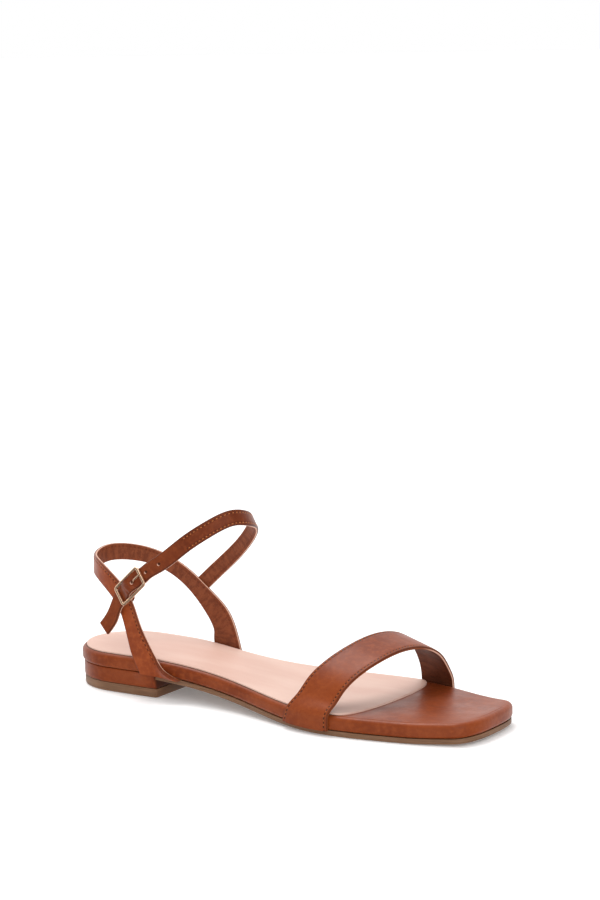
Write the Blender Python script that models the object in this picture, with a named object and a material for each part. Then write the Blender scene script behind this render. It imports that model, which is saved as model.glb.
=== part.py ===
"""Flat ankle strap sandal for the right foot, in metres.

+X points to the toe, +Y to the medial (big toe) side, +Z up, and the floor is z = 0.
The sole is a stack: top lift and heel block at the back, outsole at the front, then the
wrapped footbed and the insole sock.  Three leather straps make the upper: a toe strap, a
heel band that rises from both sides of the heel seat, and an ankle strap sewn to the
medial riser of the heel band and closed by a buckle on the lateral side.
"""
import math
from collections import namedtuple

import bmesh
import bpy
import numpy as np
from mathutils import Matrix, Vector

# Sole sizes
LAST_LENGTH = 0.2500
TOE_MARGIN = 0.0035
BALL_WIDTH = 0.0840
WAIST_WIDTH = 0.0480
HEEL_WIDTH = 0.0543
TOE_WIDTH = 0.0530
HEEL_HEIGHT = 0.0205
TOE_SPRING = 0.0013
HEEL_LENGTH = 0.0625
HEEL_ROUND = 0.0300
TOE_ROUND = 0.0120

# Sole layers
CLEARANCE = 0.0003
BED_THICKNESS = 0.0076
BED_TOP_ROUND = 0.0026
BED_BOTTOM_ROUND = 0.0020
OUTSOLE_THICKNESS = 0.0025
OUTSOLE_INSET = 0.0005
TOP_LIFT_THICKNESS = 0.0046
TOP_LIFT_INSET = 0.0012
BLOCK_INSET = 0.0009
BLOCK_EDGE_ROUND = 0.0006
SOCK_THICKNESS = 0.0006
SOCK_INSET = 0.0024
SOCK_LENGTH = 0.1960
SOCK_ROUND = 0.0140
SOCK_SKEW = 0.05

# Straps
STRAP_THICKNESS = 0.0018
STRAP_CHAMFER = 0.0004
BAND_WIDTH = 0.0095
BAND_HEIGHT = 0.0660
ANKLE_STRAP_WIDTH = 0.0085
ANKLE_HEIGHT = 0.0980
TOE_STRAP_WIDTH = 0.0235
INSTEP_HEIGHT = 0.0410
STRAP_TUCK = 0.0003

# Buckle
BUCKLE_LENGTH = 0.0207
BUCKLE_WIDTH = 0.0125
BUCKLE_CORNER = 0.0014
BUCKLE_BAR = 0.0016
CENTRE_BAR = 0.0014
CENTRE_BAR_DROP = 0.0017
CENTRE_BAR_BEND = 0.0003
BUCKLE_RISE_ANGLE = 42.5
BUCKLE_LEAN_ANGLE = 14.0
BUCKLE_ALONG = 0.2056
BUCKLE_UP = 0.6173
PRONG_WIRE = 0.0010
PRONG_CLEARANCE = 0.0005
TAB_THICKNESS = 0.0008
TAB_WIDTH = 0.0080
TAB_SLOT = 0.0020

SHOE_LENGTH = LAST_LENGTH + TOE_MARGIN
FOREFOOT_HEIGHT = OUTSOLE_THICKNESS + CLEARANCE + BED_THICKNESS
BALL_FLAT = (0.704, 0.850)
HEEL_SEAT_END = 0.21
STRAIGHT_STEPS = 18
ARC_STEPS = 8
BAND_POINTS = 4
TOE_STRAP_POINTS = 6
TOE_POWER = 2.7
SOCK_POWER = 2.4
ROUND_POWER = 2.0
STRAP_STEPS = {"band": 56, "ankle": 84, "toe": 44}
WIRE_SIDES = 10

# along: share of LAST_LENGTH, size: the width that the row follows, share: its share,
# lateral: the part of the width on the lateral side of the centre line
SoleRow = namedtuple("SoleRow", "along size share lateral")
SOLE_ROWS = (
    SoleRow(0.000, HEEL_WIDTH, 1.000, 0.520),
    SoleRow(0.120, HEEL_WIDTH, 1.000, 0.520),
    SoleRow(0.220, HEEL_WIDTH, 0.970, 0.530),
    SoleRow(0.340, WAIST_WIDTH, 1.000, 0.565),
    SoleRow(0.460, WAIST_WIDTH, 1.110, 0.567),
    SoleRow(0.560, BALL_WIDTH, 0.818, 0.534),
    SoleRow(0.660, BALL_WIDTH, 0.985, 0.510),
    SoleRow(0.760, BALL_WIDTH, 0.995, 0.501),
    SoleRow(0.848, BALL_WIDTH, 0.890, 0.511),
    SoleRow(0.920, TOE_WIDTH, 1.211, 0.526),
    SoleRow(0.968, TOE_WIDTH, 1.070, 0.521),
    SoleRow(1.012, TOE_WIDTH, 0.988, 0.510),
)

# Where a strap lies against the footbed: up is the share of the footbed's thickness
# above its lower edge, back and front are the strap's edges as shares of LAST_LENGTH
FootRow = namedtuple("FootRow", "up back front")
BAND_LATERAL_FOOT = (
    FootRow(0.00, 0.215, 0.316),
    FootRow(0.27, 0.212, 0.292),
    FootRow(0.55, 0.208, 0.275),
    FootRow(0.95, 0.202, 0.264),
)
BAND_MEDIAL_FOOT = (
    FootRow(0.95, 0.259, 0.335),
    FootRow(0.60, 0.262, 0.338),
    FootRow(0.30, 0.265, 0.340),
    FootRow(0.00, 0.267, 0.342),
)
TOE_LATERAL_FOOT = (
    FootRow(0.00, 0.610, 0.724),
    FootRow(0.27, 0.613, 0.724),
    FootRow(0.55, 0.616, 0.724),
    FootRow(0.95, 0.621, 0.725),
)
TOE_MEDIAL_FOOT = (
    FootRow(0.95, 0.738, 0.822),
    FootRow(0.55, 0.738, 0.822),
    FootRow(0.27, 0.737, 0.821),
    FootRow(0.00, 0.737, 0.821),
)

# Middle of the strap: along and up as shares of the lengths they follow, out as a share
# of half the heel or ball width, wide as a share of the strap's width.  slant is the
# angle of the line across the strap from upright towards the toe, splay its angle
# towards the medial side, both in degrees.
StrapRow = namedtuple("StrapRow", "along out up wide slant splay")
BAND_ROWS = (
    StrapRow(0.215, -1.08, 0.435, 1.32, 66, -2),
    StrapRow(0.200, -1.07, 0.573, 1.10, 66, -3),
    StrapRow(0.176, -1.04, 0.768, 1.09, 54, -5),
    StrapRow(0.134, -0.97, 0.908, 1.08, 30, -6),
    StrapRow(0.084, -0.75, 0.985, 1.06, 9, -3),
    StrapRow(0.043, -0.33, 0.992, 1.02, 1, 0),
    StrapRow(0.026, 0.00, 1.000, 0.99, 1, -3),
    StrapRow(0.025, 0.34, 1.012, 0.98, 1, 0),
    StrapRow(0.061, 0.72, 0.998, 0.95, 6, 4),
    StrapRow(0.120, 0.89, 0.944, 0.90, 18, 4),
    StrapRow(0.183, 0.93, 0.829, 0.93, 33, 2),
    StrapRow(0.241, 0.94, 0.647, 1.17, 48, 1),
    StrapRow(0.283, 0.915, 0.452, 1.52, 64, -2),
)
ANKLE_ROWS = (
    StrapRow(0.204, 1.00, 0.477, 1.00, -45, -4),
    StrapRow(0.260, 1.01, 0.606, 1.00, -41, 0),
    StrapRow(0.321, 0.95, 0.739, 1.00, -39, 7),
    StrapRow(0.371, 0.74, 0.855, 1.00, -50, 12),
    StrapRow(0.409, 0.35, 0.941, 1.00, -40, 12),
    StrapRow(0.427, -0.10, 0.988, 1.00, -25, 4),
    StrapRow(0.418, -0.52, 1.006, 1.00, -18, -4),
    StrapRow(0.385, -0.83, 0.957, 1.00, -29, -7),
    StrapRow(0.332, -1.01, 0.861, 1.00, -36, 0),
    StrapRow(0.272, -1.10, 0.745, 1.00, -40, 6),
)
TAIL_ROWS = (
    StrapRow(0.158, -1.18, 0.446, 1.00, -52, 13),
    StrapRow(0.137, -1.22, 0.367, 1.00, -50, 13),
)
TOE_ROWS = (
    StrapRow(0.685, -0.93, 0.40, 1.00, 95, -3),
    StrapRow(0.697, -0.83, 0.56, 0.99, 97, -5),
    StrapRow(0.717, -0.65, 0.745, 0.98, 99, -8),
    StrapRow(0.743, -0.36, 0.900, 0.97, 101, -12),
    StrapRow(0.761, 0.05, 0.965, 0.96, 102, -15),
    StrapRow(0.774, 0.45, 0.900, 0.95, 101, -16),
    StrapRow(0.780, 0.71, 0.745, 0.95, 99, -15),
    StrapRow(0.782, 0.855, 0.56, 0.93, 98, -13),
    StrapRow(0.783, 0.935, 0.40, 0.92, 95, -11),
)

# Middle of the buckle: along and up as shares of LAST_LENGTH and ANKLE_HEIGHT, out as the
# share of half the heel width where the heel band's middle runs behind it
BuckleSpot = namedtuple("BuckleSpot", "along out up")
BUCKLE_SPOT = BuckleSpot(0.2056, 1.046, 0.6173)

# Ankle strap along the buckle: forward as a share of half its inner length, level from
# under the end bars (0) to over the centre bar (1)
BuckleLevel = namedtuple("BuckleLevel", "forward level")
BUCKLE_LEVELS = (
    BuckleLevel(1.22, 0.00),
    BuckleLevel(1.00, 0.00),
    BuckleLevel(0.55, 0.42),
    BuckleLevel(0.00, 1.00),
    BuckleLevel(-0.55, 0.42),
    BuckleLevel(-1.00, 0.00),
    BuckleLevel(-1.22, 0.00),
)

# Prong past its eye: forward as a share of half the buckle's inner length, rise in prong
# wires above its rest on the front bar
ProngRow = namedtuple("ProngRow", "forward rise")
PRONG_ROWS = (
    ProngRow(0.34, -1.9),
    ProngRow(0.46, -0.5),
    ProngRow(0.60, 0.1),
    ProngRow(0.80, 0.1),
    ProngRow(1.00, 0.0),
    ProngRow(1.14, -0.3),
)
PRONG_EYE = (30.0, 315.0)
PRONG_EYE_STEPS = 12

# Two ends of the tab behind the centre bar, both values in radii of its loop
TabRow = namedtuple("TabRow", "forward outward")
TAB_INNER_END = (TabRow(-4.00, -1.57), TabRow(-2.43, -0.43))
TAB_OUTER_END = (
    TabRow(-2.43, -1.57),
    TabRow(-4.43, -3.07),
    TabRow(-6.43, -3.57),
    TabRow(-8.93, -3.64),
)
TAB_LOOP_ANGLE = 125.0
TAB_LOOP_STEPS = 8

# Colours (linear), roughness and metallic of the materials
BROWN_LEATHER = ((0.300, 0.085, 0.028, 1.0), 0.42, 0.0)
PALE_LEATHER = ((0.760, 0.480, 0.360, 1.0), 0.60, 0.0)
TAN_SOLE = ((0.320, 0.190, 0.100, 1.0), 0.62, 0.0)
GOLD_METAL = ((0.860, 0.620, 0.360, 1.0), 0.24, 1.0)


def clear_scene():
    for item in list(bpy.data.objects):
        bpy.data.objects.remove(item, do_unlink=True)


def material(name, look):
    colour, roughness, metallic = look
    made = bpy.data.materials.new(name)
    made.use_nodes = True
    shader = made.node_tree.nodes["Principled BSDF"]
    shader.inputs["Base Color"].default_value = colour
    shader.inputs["Roughness"].default_value = roughness
    shader.inputs["Metallic"].default_value = metallic
    return made


def add_object(name, mesh, look):
    made = bpy.data.objects.new(name, mesh)
    bpy.context.scene.collection.objects.link(made)
    mesh.materials.clear()
    mesh.materials.append(material(name + "_material", look))
    mesh.shade_smooth()
    mesh.set_sharp_from_angle(angle=math.radians(35))
    return made


def mesh_from(bm, name):
    bmesh.ops.recalc_face_normals(bm, faces=bm.faces)
    mesh = bpy.data.meshes.new(name)
    bm.to_mesh(mesh)
    bm.free()
    return mesh


def natural_spline(knots, values):
    """Second derivatives of the natural cubic spline through the values."""
    count = len(knots)
    gaps = np.diff(knots)
    system = np.eye(count)
    right = np.zeros_like(values)
    for i in range(1, count - 1):
        system[i, i - 1] = gaps[i - 1]
        system[i, i] = 2.0 * (gaps[i - 1] + gaps[i])
        system[i, i + 1] = gaps[i]
        slopes = (values[i] - values[i - 1]) / gaps[i - 1], (values[i + 1] - values[i]) / gaps[i]
        right[i] = 6.0 * (slopes[1] - slopes[0])
    return np.linalg.solve(system, right)


def spline_at(knots, values, bends, at):
    """Value of the spline at one place."""
    i = int(np.clip(np.searchsorted(knots, at) - 1, 0, len(knots) - 2))
    gap = knots[i + 1] - knots[i]
    a = (knots[i + 1] - at) / gap
    b = 1.0 - a
    curve = ((a ** 3 - a) * bends[i] + (b ** 3 - b) * bends[i + 1]) * gap * gap / 6.0
    return a * values[i] + b * values[i + 1] + curve


SOLE_KNOTS = np.array([row.along for row in SOLE_ROWS])
SOLE_SIDES = np.array([
    (row.size * row.share * row.lateral, row.size * row.share * (1.0 - row.lateral))
    for row in SOLE_ROWS
])
SOLE_BENDS = natural_spline(SOLE_KNOTS, SOLE_SIDES)


def sole_sides(x):
    """Lateral and medial half widths of the footbed, before its ends are rounded."""
    return spline_at(SOLE_KNOTS, SOLE_SIDES, SOLE_BENDS, x / LAST_LENGTH)


def bed_top(x):
    """Height of the footbed's top face: heel seat, arch slope, flat tread, toe spring."""
    share = x / LAST_LENGTH
    slope = min(max((share - HEEL_SEAT_END) / (BALL_FLAT[0] - HEEL_SEAT_END), 0.0), 1.0)
    height = HEEL_HEIGHT - (HEEL_HEIGHT - FOREFOOT_HEIGHT) * slope * slope * (3.0 - 2.0 * slope)
    lift = max(share - BALL_FLAT[1], 0.0) / (1.0 - BALL_FLAT[1])
    return height + TOE_SPRING * lift * lift


def bed_bottom(x):
    return bed_top(x) - BED_THICKNESS


def outsole_top(x):
    return bed_bottom(x) - CLEARANCE


def place(x, y, z):
    """Point of the shoe from its distance to the heel's back, in the part's frame."""
    return Vector((x - SHOE_LENGTH / 2.0, y, z))


def stations(back, front, back_round, front_round, front_power):
    """Places along the shoe with the rounding factor of the outline at each."""
    found = []
    if back_round > 0.0:
        for i in range(ARC_STEPS):
            angle = 0.5 * math.pi * i / ARC_STEPS
            found.append((back + back_round * (1.0 - math.cos(angle)), math.sin(angle)))
    start = back + back_round
    end = front - front_round
    for i in range(STRAIGHT_STEPS + 1):
        found.append((start + (end - start) * i / STRAIGHT_STEPS, 1.0))
    if front_round > 0.0:
        for i in range(1, ARC_STEPS + 1):
            angle = 0.5 * math.pi * i / ARC_STEPS
            across = math.cos(angle) ** (2.0 / front_power)
            found.append((end + front_round * math.sin(angle) ** (2.0 / front_power), across))
    return found


def plate(name, rings, back, front, back_round, front_round, front_power, look, skew=0.0):
    """Closed plate from rings stacked upwards; each ring is an inset and a height rule."""
    bm = bmesh.new()
    loops = []
    for inset, height in rings:
        round_back = max(back_round - inset, 0.0)
        round_front = max(front_round - inset, 0.0)
        spots = stations(back + inset, front - inset, round_back, round_front, front_power)
        lateral = []
        medial = []
        for x, across in spots:
            wide = sole_sides(x)
            y_lateral = -(wide[0] - inset) * across
            y_medial = (wide[1] - inset) * across
            forward = max(x - (front - 2.0 * front_round), 0.0) / (2.0 * front_round or 1.0)
            lateral.append(bm.verts.new(place(x + skew * y_lateral * forward, y_lateral, height(x))))
            medial.append(bm.verts.new(place(x + skew * y_medial * forward, y_medial, height(x))))
        loops.append((lateral, medial))
    for lateral, medial in (loops[0], loops[-1]):
        for i in range(len(lateral) - 1):
            bm.faces.new((lateral[i], medial[i], medial[i + 1], lateral[i + 1]))
    for (low_lateral, low_medial), (high_lateral, high_medial) in zip(loops, loops[1:]):
        for i in range(len(low_lateral) - 1):
            bm.faces.new((low_lateral[i], low_lateral[i + 1], high_lateral[i + 1], high_lateral[i]))
            bm.faces.new((low_medial[i + 1], low_medial[i], high_medial[i], high_medial[i + 1]))
        if back_round == 0.0:
            bm.faces.new((low_lateral[0], high_lateral[0], high_medial[0], low_medial[0]))
        if front_round == 0.0:
            bm.faces.new((low_lateral[-1], low_medial[-1], high_medial[-1], high_lateral[-1]))
    bmesh.ops.remove_doubles(bm, verts=bm.verts, dist=1e-6)
    bmesh.ops.dissolve_degenerate(bm, edges=bm.edges, dist=1e-6)
    return add_object(name, mesh_from(bm, name), look)


def rounded_edge(radius, height, upwards, steps):
    """Rings of a quarter round at the lower or upper edge of a plate."""
    rings = []
    for i in range(steps + 1):
        angle = 0.5 * math.pi * i / steps
        if upwards:
            inset = radius * (1.0 - math.cos(angle))
            drop = radius * (1.0 - math.sin(angle))
            rings.append((inset, lambda x, d=drop: height(x) - d))
        else:
            inset = radius * (1.0 - math.sin(angle))
            rise = radius * (1.0 - math.cos(angle))
            rings.append((inset, lambda x, r=rise: height(x) + r))
    return rings


def build_footbed():
    rings = rounded_edge(BED_BOTTOM_ROUND, bed_bottom, False, 3)
    rings += rounded_edge(BED_TOP_ROUND, bed_top, True, 4)
    return plate("footbed", rings, 0.0, SHOE_LENGTH, HEEL_ROUND, TOE_ROUND, TOE_POWER, BROWN_LEATHER)


def build_sock():
    def under(x):
        return bed_top(x) + CLEARANCE

    def over(x):
        return under(x) + SOCK_THICKNESS

    inset = SOCK_INSET
    edge = 0.3 * SOCK_THICKNESS
    rings = [(inset, under), (inset, lambda x: over(x) - edge), (inset + edge, over)]
    return plate("insole_sock", rings, 0.0, SOCK_LENGTH + inset, HEEL_ROUND, SOCK_ROUND, SOCK_POWER,
                 PALE_LEATHER, SOCK_SKEW)


def build_outsole():
    def under(x):
        return outsole_top(x) - OUTSOLE_THICKNESS

    back = HEEL_LENGTH + CLEARANCE
    edge = 0.2 * OUTSOLE_THICKNESS
    flush = OUTSOLE_INSET
    rings = [(flush + edge, under), (flush, lambda x: under(x) + edge), (flush, outsole_top)]
    return plate("outsole", rings, back - flush, SHOE_LENGTH, 0.0, TOE_ROUND, TOE_POWER, TAN_SOLE)


def build_heel_block():
    def under(x):
        return TOP_LIFT_THICKNESS + CLEARANCE

    edge = BLOCK_EDGE_ROUND
    rings = [
        (BLOCK_INSET + edge, under),
        (BLOCK_INSET, lambda x: under(x) + edge),
        (BLOCK_INSET, lambda x: outsole_top(x) - edge),
        (BLOCK_INSET + edge, outsole_top),
    ]
    front = HEEL_LENGTH + BLOCK_INSET
    return plate("heel_block", rings, 0.0, front, HEEL_ROUND, 0.0, ROUND_POWER, BROWN_LEATHER)


def build_top_lift():
    edge = 0.1 * TOP_LIFT_THICKNESS
    rings = [
        (TOP_LIFT_INSET + edge, lambda x: 0.0),
        (TOP_LIFT_INSET, lambda x: edge),
        (TOP_LIFT_INSET, lambda x: TOP_LIFT_THICKNESS),
    ]
    front = HEEL_LENGTH + TOP_LIFT_INSET
    return plate("top_lift", rings, 0.0, front, HEEL_ROUND, 0.0, ROUND_POWER, TAN_SOLE)


def foot_rungs(rows, side, count):
    """Rungs of a strap's end, against the footbed's side and tucked in under its edge."""
    rungs = []
    for row in rows:
        under_edge = max(1.0 - row.up * BED_THICKNESS / BED_BOTTOM_ROUND, 0.0)
        stand_off = CLEARANCE + STRAP_THICKNESS / 2.0 - STRAP_TUCK * under_edge ** 2
        points = []
        for share in np.linspace(row.back, row.front, count):
            x = share * LAST_LENGTH
            wide = sole_sides(x)[0 if side < 0 else 1]
            points.append(place(x, side * (wide + stand_off), bed_bottom(x) + row.up * BED_THICKNESS))
        rungs.append(points)
    return rungs


def strap_rungs(rows, half_width, height, strap_width, count):
    """Rungs across a strap, each from its lower or rear edge to its upper or front edge."""
    rungs = []
    for row in rows:
        slant = math.radians(row.slant)
        splay = math.radians(row.splay)
        middle = place(row.along * LAST_LENGTH, row.out * half_width, row.up * height)
        across = Vector((
            math.sin(slant) * math.cos(splay),
            math.sin(splay),
            math.cos(slant) * math.cos(splay),
        ))
        half = row.wide * strap_width / 2.0
        rungs.append([middle + across * (half * share) for share in np.linspace(-1.0, 1.0, count)])
    return rungs


def smooth_rungs(rungs, steps):
    """Evenly spaced rungs on the smooth surface through the given ones."""
    values = np.array([[tuple(point) for point in rung] for rung in rungs])
    middles = values.mean(axis=1)
    knots = np.concatenate([[0.0], np.cumsum(np.linalg.norm(np.diff(middles, axis=0), axis=1))])
    flat = values.reshape(len(rungs), -1)
    bends = natural_spline(knots, flat)
    dense = []
    for at in np.linspace(0.0, knots[-1], steps + 1):
        value = spline_at(knots, flat, bends, at).reshape(-1, 3)
        dense.append([Vector(point) for point in value])
    return dense


def ribbon(bm, rungs, thickness, outward):
    """Strap of one thickness along the rungs; outward is +1 or -1 for its grain side."""
    loops = []
    half = thickness / 2.0
    flat = half - STRAP_CHAMFER
    last = len(rungs[0]) - 1
    for i, rung in enumerate(rungs):
        before = rungs[max(i - 1, 0)]
        after = rungs[min(i + 1, len(rungs) - 1)]
        across = [(rung[min(k + 1, last)] - rung[max(k - 1, 0)]).normalized() for k in range(last + 1)]
        normal = [
            (after[k] - before[k]).cross(across[k]).normalized() * outward for k in range(last + 1)
        ]
        low = rung[0] + across[0] * STRAP_CHAMFER
        high = rung[last] - across[last] * STRAP_CHAMFER
        inner = [rung[k] - normal[k] * half for k in range(1, last)]
        outer = [rung[k] + normal[k] * half for k in range(1, last)]
        points = [low - normal[0] * half] + inner + [high - normal[last] * half]
        points += [rung[last] - normal[last] * flat, rung[last] + normal[last] * flat]
        points += [high + normal[last] * half] + outer[::-1] + [low + normal[0] * half]
        points += [rung[0] + normal[0] * flat, rung[0] - normal[0] * flat]
        loops.append([bm.verts.new(point) for point in points])
    for first, second in zip(loops, loops[1:]):
        count = len(first)
        for i in range(count):
            j = (i + 1) % count
            bm.faces.new((first[i], first[j], second[j], second[i]))
    bm.faces.new(loops[0])
    bm.faces.new(reversed(loops[-1]))


def ribbon_object(name, rungs, thickness, outward, look):
    bm = bmesh.new()
    ribbon(bm, rungs, thickness, outward)
    return add_object(name, mesh_from(bm, name), look)


def combine(target, tool, operation):
    """Boolean of two objects, applied to the target; the tool is removed."""
    bpy.context.view_layer.update()
    modifier = target.modifiers.new("combine", "BOOLEAN")
    modifier.operation = operation
    modifier.solver = "EXACT"
    modifier.object = tool
    graph = bpy.context.evaluated_depsgraph_get()
    result = bpy.data.meshes.new_from_object(target.evaluated_get(graph))
    target.modifiers.remove(modifier)
    target.data = result
    bpy.data.objects.remove(tool, do_unlink=True)


def buckle_frame_axes():
    """Origin of the buckle, the strap's way towards the front bar, across it, outwards."""
    rise = math.radians(BUCKLE_RISE_ANGLE)
    lean = math.radians(BUCKLE_LEAN_ANGLE)
    stack = 1.5 * STRAP_THICKNESS + 2.0 * CLEARANCE + BUCKLE_BAR / 2.0
    out = BUCKLE_SPOT.out * HEEL_WIDTH / 2.0 + stack
    origin = place(BUCKLE_SPOT.along * LAST_LENGTH, -out, BUCKLE_SPOT.up * ANKLE_HEIGHT)
    forward = Vector((math.cos(rise), 0.0, math.sin(rise)))
    flat_across = Vector((-math.sin(rise), 0.0, math.cos(rise)))
    across = Matrix.Rotation(lean, 3, -forward) @ flat_across
    return origin, forward, across, forward.cross(across)


ORIGIN, FORWARD, ACROSS, OUTWARD = buckle_frame_axes()
INNER_HALF = BUCKLE_LENGTH / 2.0 - BUCKLE_BAR / 2.0
INNER_WIDE = BUCKLE_WIDTH / 2.0 - BUCKLE_BAR / 2.0
STRAP_UNDER_BAR = -(BUCKLE_BAR / 2.0 + CLEARANCE + STRAP_THICKNESS / 2.0)
LOOP_RADIUS = CENTRE_BAR / 2.0 + CLEARANCE + TAB_THICKNESS / 2.0
PRONG_RADIUS = CENTRE_BAR / 2.0 + CLEARANCE + PRONG_WIRE / 2.0
EYE_TOP = PRONG_RADIUS + PRONG_WIRE / 2.0
STRAP_OVER_BAR = EYE_TOP - CENTRE_BAR_DROP + CLEARANCE + STRAP_THICKNESS / 2.0


def buckle_point(forward, across, outward):
    return ORIGIN + FORWARD * forward + ACROSS * across + OUTWARD * outward


def buckle_strap_rungs():
    rungs = []
    half = ANKLE_STRAP_WIDTH / 2.0
    for row in BUCKLE_LEVELS:
        outward = STRAP_UNDER_BAR + (STRAP_OVER_BAR - STRAP_UNDER_BAR) * row.level
        middle = buckle_point(row.forward * INNER_HALF, 0.0, outward)
        rungs.append([middle - ACROSS * half, middle + ACROSS * half])
    return rungs


def wire(bm, points, radius, sides, closed=False):
    """Round wire along points in the buckle's frame."""
    loops = []
    count = len(points)
    up = None
    for i, point in enumerate(points):
        before = points[i - 1] if i > 0 or closed else point
        after = points[(i + 1) % count] if i < count - 1 or closed else point
        along = (after - before).normalized()
        if up is None:
            up = along.orthogonal()
        up = (up - along * up.dot(along)).normalized()
        side = along.cross(up)
        loops.append([
            bm.verts.new(point + (up * math.cos(angle) + side * math.sin(angle)) * radius)
            for angle in (2.0 * math.pi * k / sides for k in range(sides))
        ])
    pairs = list(zip(loops, loops[1:]))
    if closed:
        pairs.append((loops[-1], loops[0]))
    else:
        bm.faces.new(reversed(loops[0]))
        bm.faces.new(loops[-1])
    for first, second in pairs:
        for i in range(sides):
            j = (i + 1) % sides
            bm.faces.new((first[i], first[j], second[j], second[i]))


def build_buckle_frame():
    corner = BUCKLE_CORNER
    points = []
    for turn, (side_long, side_wide) in enumerate(((1, 1), (-1, 1), (-1, -1), (1, -1))):
        for step in range(5):
            angle = math.radians(90.0 * turn + 22.5 * step)
            points.append(buckle_point(
                side_long * (INNER_HALF - corner) + corner * math.cos(angle),
                side_wide * (INNER_WIDE - corner) + corner * math.sin(angle),
                0.0,
            ))
    bm = bmesh.new()
    wire(bm, points, BUCKLE_BAR / 2.0, WIRE_SIDES, closed=True)
    frame = add_object("buckle_frame", mesh_from(bm, "buckle_frame"), GOLD_METAL)
    inside = INNER_WIDE - BUCKLE_BAR / 2.0 - CLEARANCE - CENTRE_BAR_BEND
    half_bar = (
        (INNER_WIDE, 0.0),
        (INNER_WIDE - CENTRE_BAR_BEND, 0.55 * CENTRE_BAR_DROP),
        (inside, CENTRE_BAR_DROP),
    )
    bar = [buckle_point(0.0, -wide, -drop) for wide, drop in half_bar]
    bar += [buckle_point(0.0, wide, -drop) for wide, drop in reversed(half_bar)]
    bm = bmesh.new()
    wire(bm, bar, CENTRE_BAR / 2.0, WIRE_SIDES)
    tool = add_object("centre_bar", mesh_from(bm, "centre_bar"), GOLD_METAL)
    combine(frame, tool, "UNION")
    return frame


def prong_points():
    points = []
    start, end = PRONG_EYE
    for step in range(PRONG_EYE_STEPS + 1):
        angle = math.radians(start + (end - start) * step / PRONG_EYE_STEPS)
        points.append((PRONG_RADIUS * math.cos(angle), PRONG_RADIUS * math.sin(angle) - CENTRE_BAR_DROP))
    rest = BUCKLE_BAR / 2.0 + CLEARANCE + PRONG_WIRE / 2.0
    points += [(row.forward * INNER_HALF, rest + row.rise * PRONG_WIRE) for row in PRONG_ROWS]
    return [buckle_point(forward, 0.0, outward) for forward, outward in points]


def build_prong():
    bm = bmesh.new()
    wire(bm, prong_points(), PRONG_WIRE / 2.0, 8)
    return add_object("buckle_prong", mesh_from(bm, "buckle_prong"), GOLD_METAL)


def prong_hole(strap):
    """Hole in the ankle strap that the prong passes through."""
    points = prong_points()
    start = points[PRONG_EYE_STEPS]
    end = points[PRONG_EYE_STEPS + 3]
    way = (end - start).normalized() * PRONG_WIRE
    bm = bmesh.new()
    wire(bm, [start - way * 0.2, end + way * 1.2], PRONG_WIRE / 2.0 + PRONG_CLEARANCE, WIRE_SIDES + 2)
    tool = add_object("prong_hole", mesh_from(bm, "prong_hole"), GOLD_METAL)
    combine(strap, tool, "DIFFERENCE")


def build_tab():
    """Leather loop round the centre bar, its inner end inside the heel band."""
    points = [(row.forward * LOOP_RADIUS, row.outward * LOOP_RADIUS) for row in TAB_INNER_END]
    for step in range(TAB_LOOP_STEPS + 1):
        angle = math.radians(TAB_LOOP_ANGLE * (1.0 - 2.0 * step / TAB_LOOP_STEPS))
        points.append((LOOP_RADIUS * math.cos(angle), LOOP_RADIUS * math.sin(angle)))
    points += [(row.forward * LOOP_RADIUS, row.outward * LOOP_RADIUS) for row in TAB_OUTER_END]
    half = TAB_WIDTH / 2.0
    rungs = []
    for forward, outward in points:
        level = outward - CENTRE_BAR_DROP
        rungs.append([buckle_point(forward, -half, level), buckle_point(forward, half, level)])
    tab = ribbon_object("buckle_tab", rungs, TAB_THICKNESS, 1, BROWN_LEATHER)
    reach = PRONG_RADIUS + PRONG_WIRE / 2.0 + CLEARANCE
    sides = Matrix((FORWARD * reach, ACROSS * (TAB_SLOT / 2.0), OUTWARD * 2.0 * reach))
    turn = sides.transposed().to_4x4()
    turn.translation = buckle_point(0.0, 0.0, -CENTRE_BAR_DROP)
    bm = bmesh.new()
    bmesh.ops.create_cube(bm, size=2.0)
    bm.transform(turn)
    combine(tab, add_object("tab_slot", mesh_from(bm, "tab_slot"), GOLD_METAL), "DIFFERENCE")
    return tab


def build_straps():
    heel_half = HEEL_WIDTH / 2.0
    ball_half = BALL_WIDTH / 2.0
    band = foot_rungs(BAND_LATERAL_FOOT, -1, BAND_POINTS)
    band += strap_rungs(BAND_ROWS, heel_half, BAND_HEIGHT, BAND_WIDTH, BAND_POINTS)
    band += foot_rungs(BAND_MEDIAL_FOOT, 1, BAND_POINTS)
    band = smooth_rungs(band, STRAP_STEPS["band"])
    upper = ribbon_object("heel_and_ankle_strap", band, STRAP_THICKNESS, 1, BROWN_LEATHER)
    ankle = strap_rungs(ANKLE_ROWS, heel_half, ANKLE_HEIGHT, ANKLE_STRAP_WIDTH, 2)
    ankle += buckle_strap_rungs()
    ankle += strap_rungs(TAIL_ROWS, heel_half, ANKLE_HEIGHT, ANKLE_STRAP_WIDTH, 2)
    ankle = smooth_rungs(ankle, STRAP_STEPS["ankle"])
    strap = ribbon_object("ankle_strap", ankle, STRAP_THICKNESS, 1, BROWN_LEATHER)
    prong_hole(strap)
    combine(upper, strap, "UNION")
    toe = foot_rungs(TOE_LATERAL_FOOT, -1, TOE_STRAP_POINTS)
    toe += strap_rungs(TOE_ROWS, ball_half, INSTEP_HEIGHT, TOE_STRAP_WIDTH, TOE_STRAP_POINTS)
    toe += foot_rungs(TOE_MEDIAL_FOOT, 1, TOE_STRAP_POINTS)
    toe = smooth_rungs(toe, STRAP_STEPS["toe"])
    ribbon_object("toe_strap", toe, STRAP_THICKNESS, 1, BROWN_LEATHER)


def main():
    clear_scene()
    build_outsole()
    build_top_lift()
    build_heel_block()
    build_footbed()
    build_sock()
    build_straps()
    build_buckle_frame()
    build_prong()
    build_tab()


main()
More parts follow.
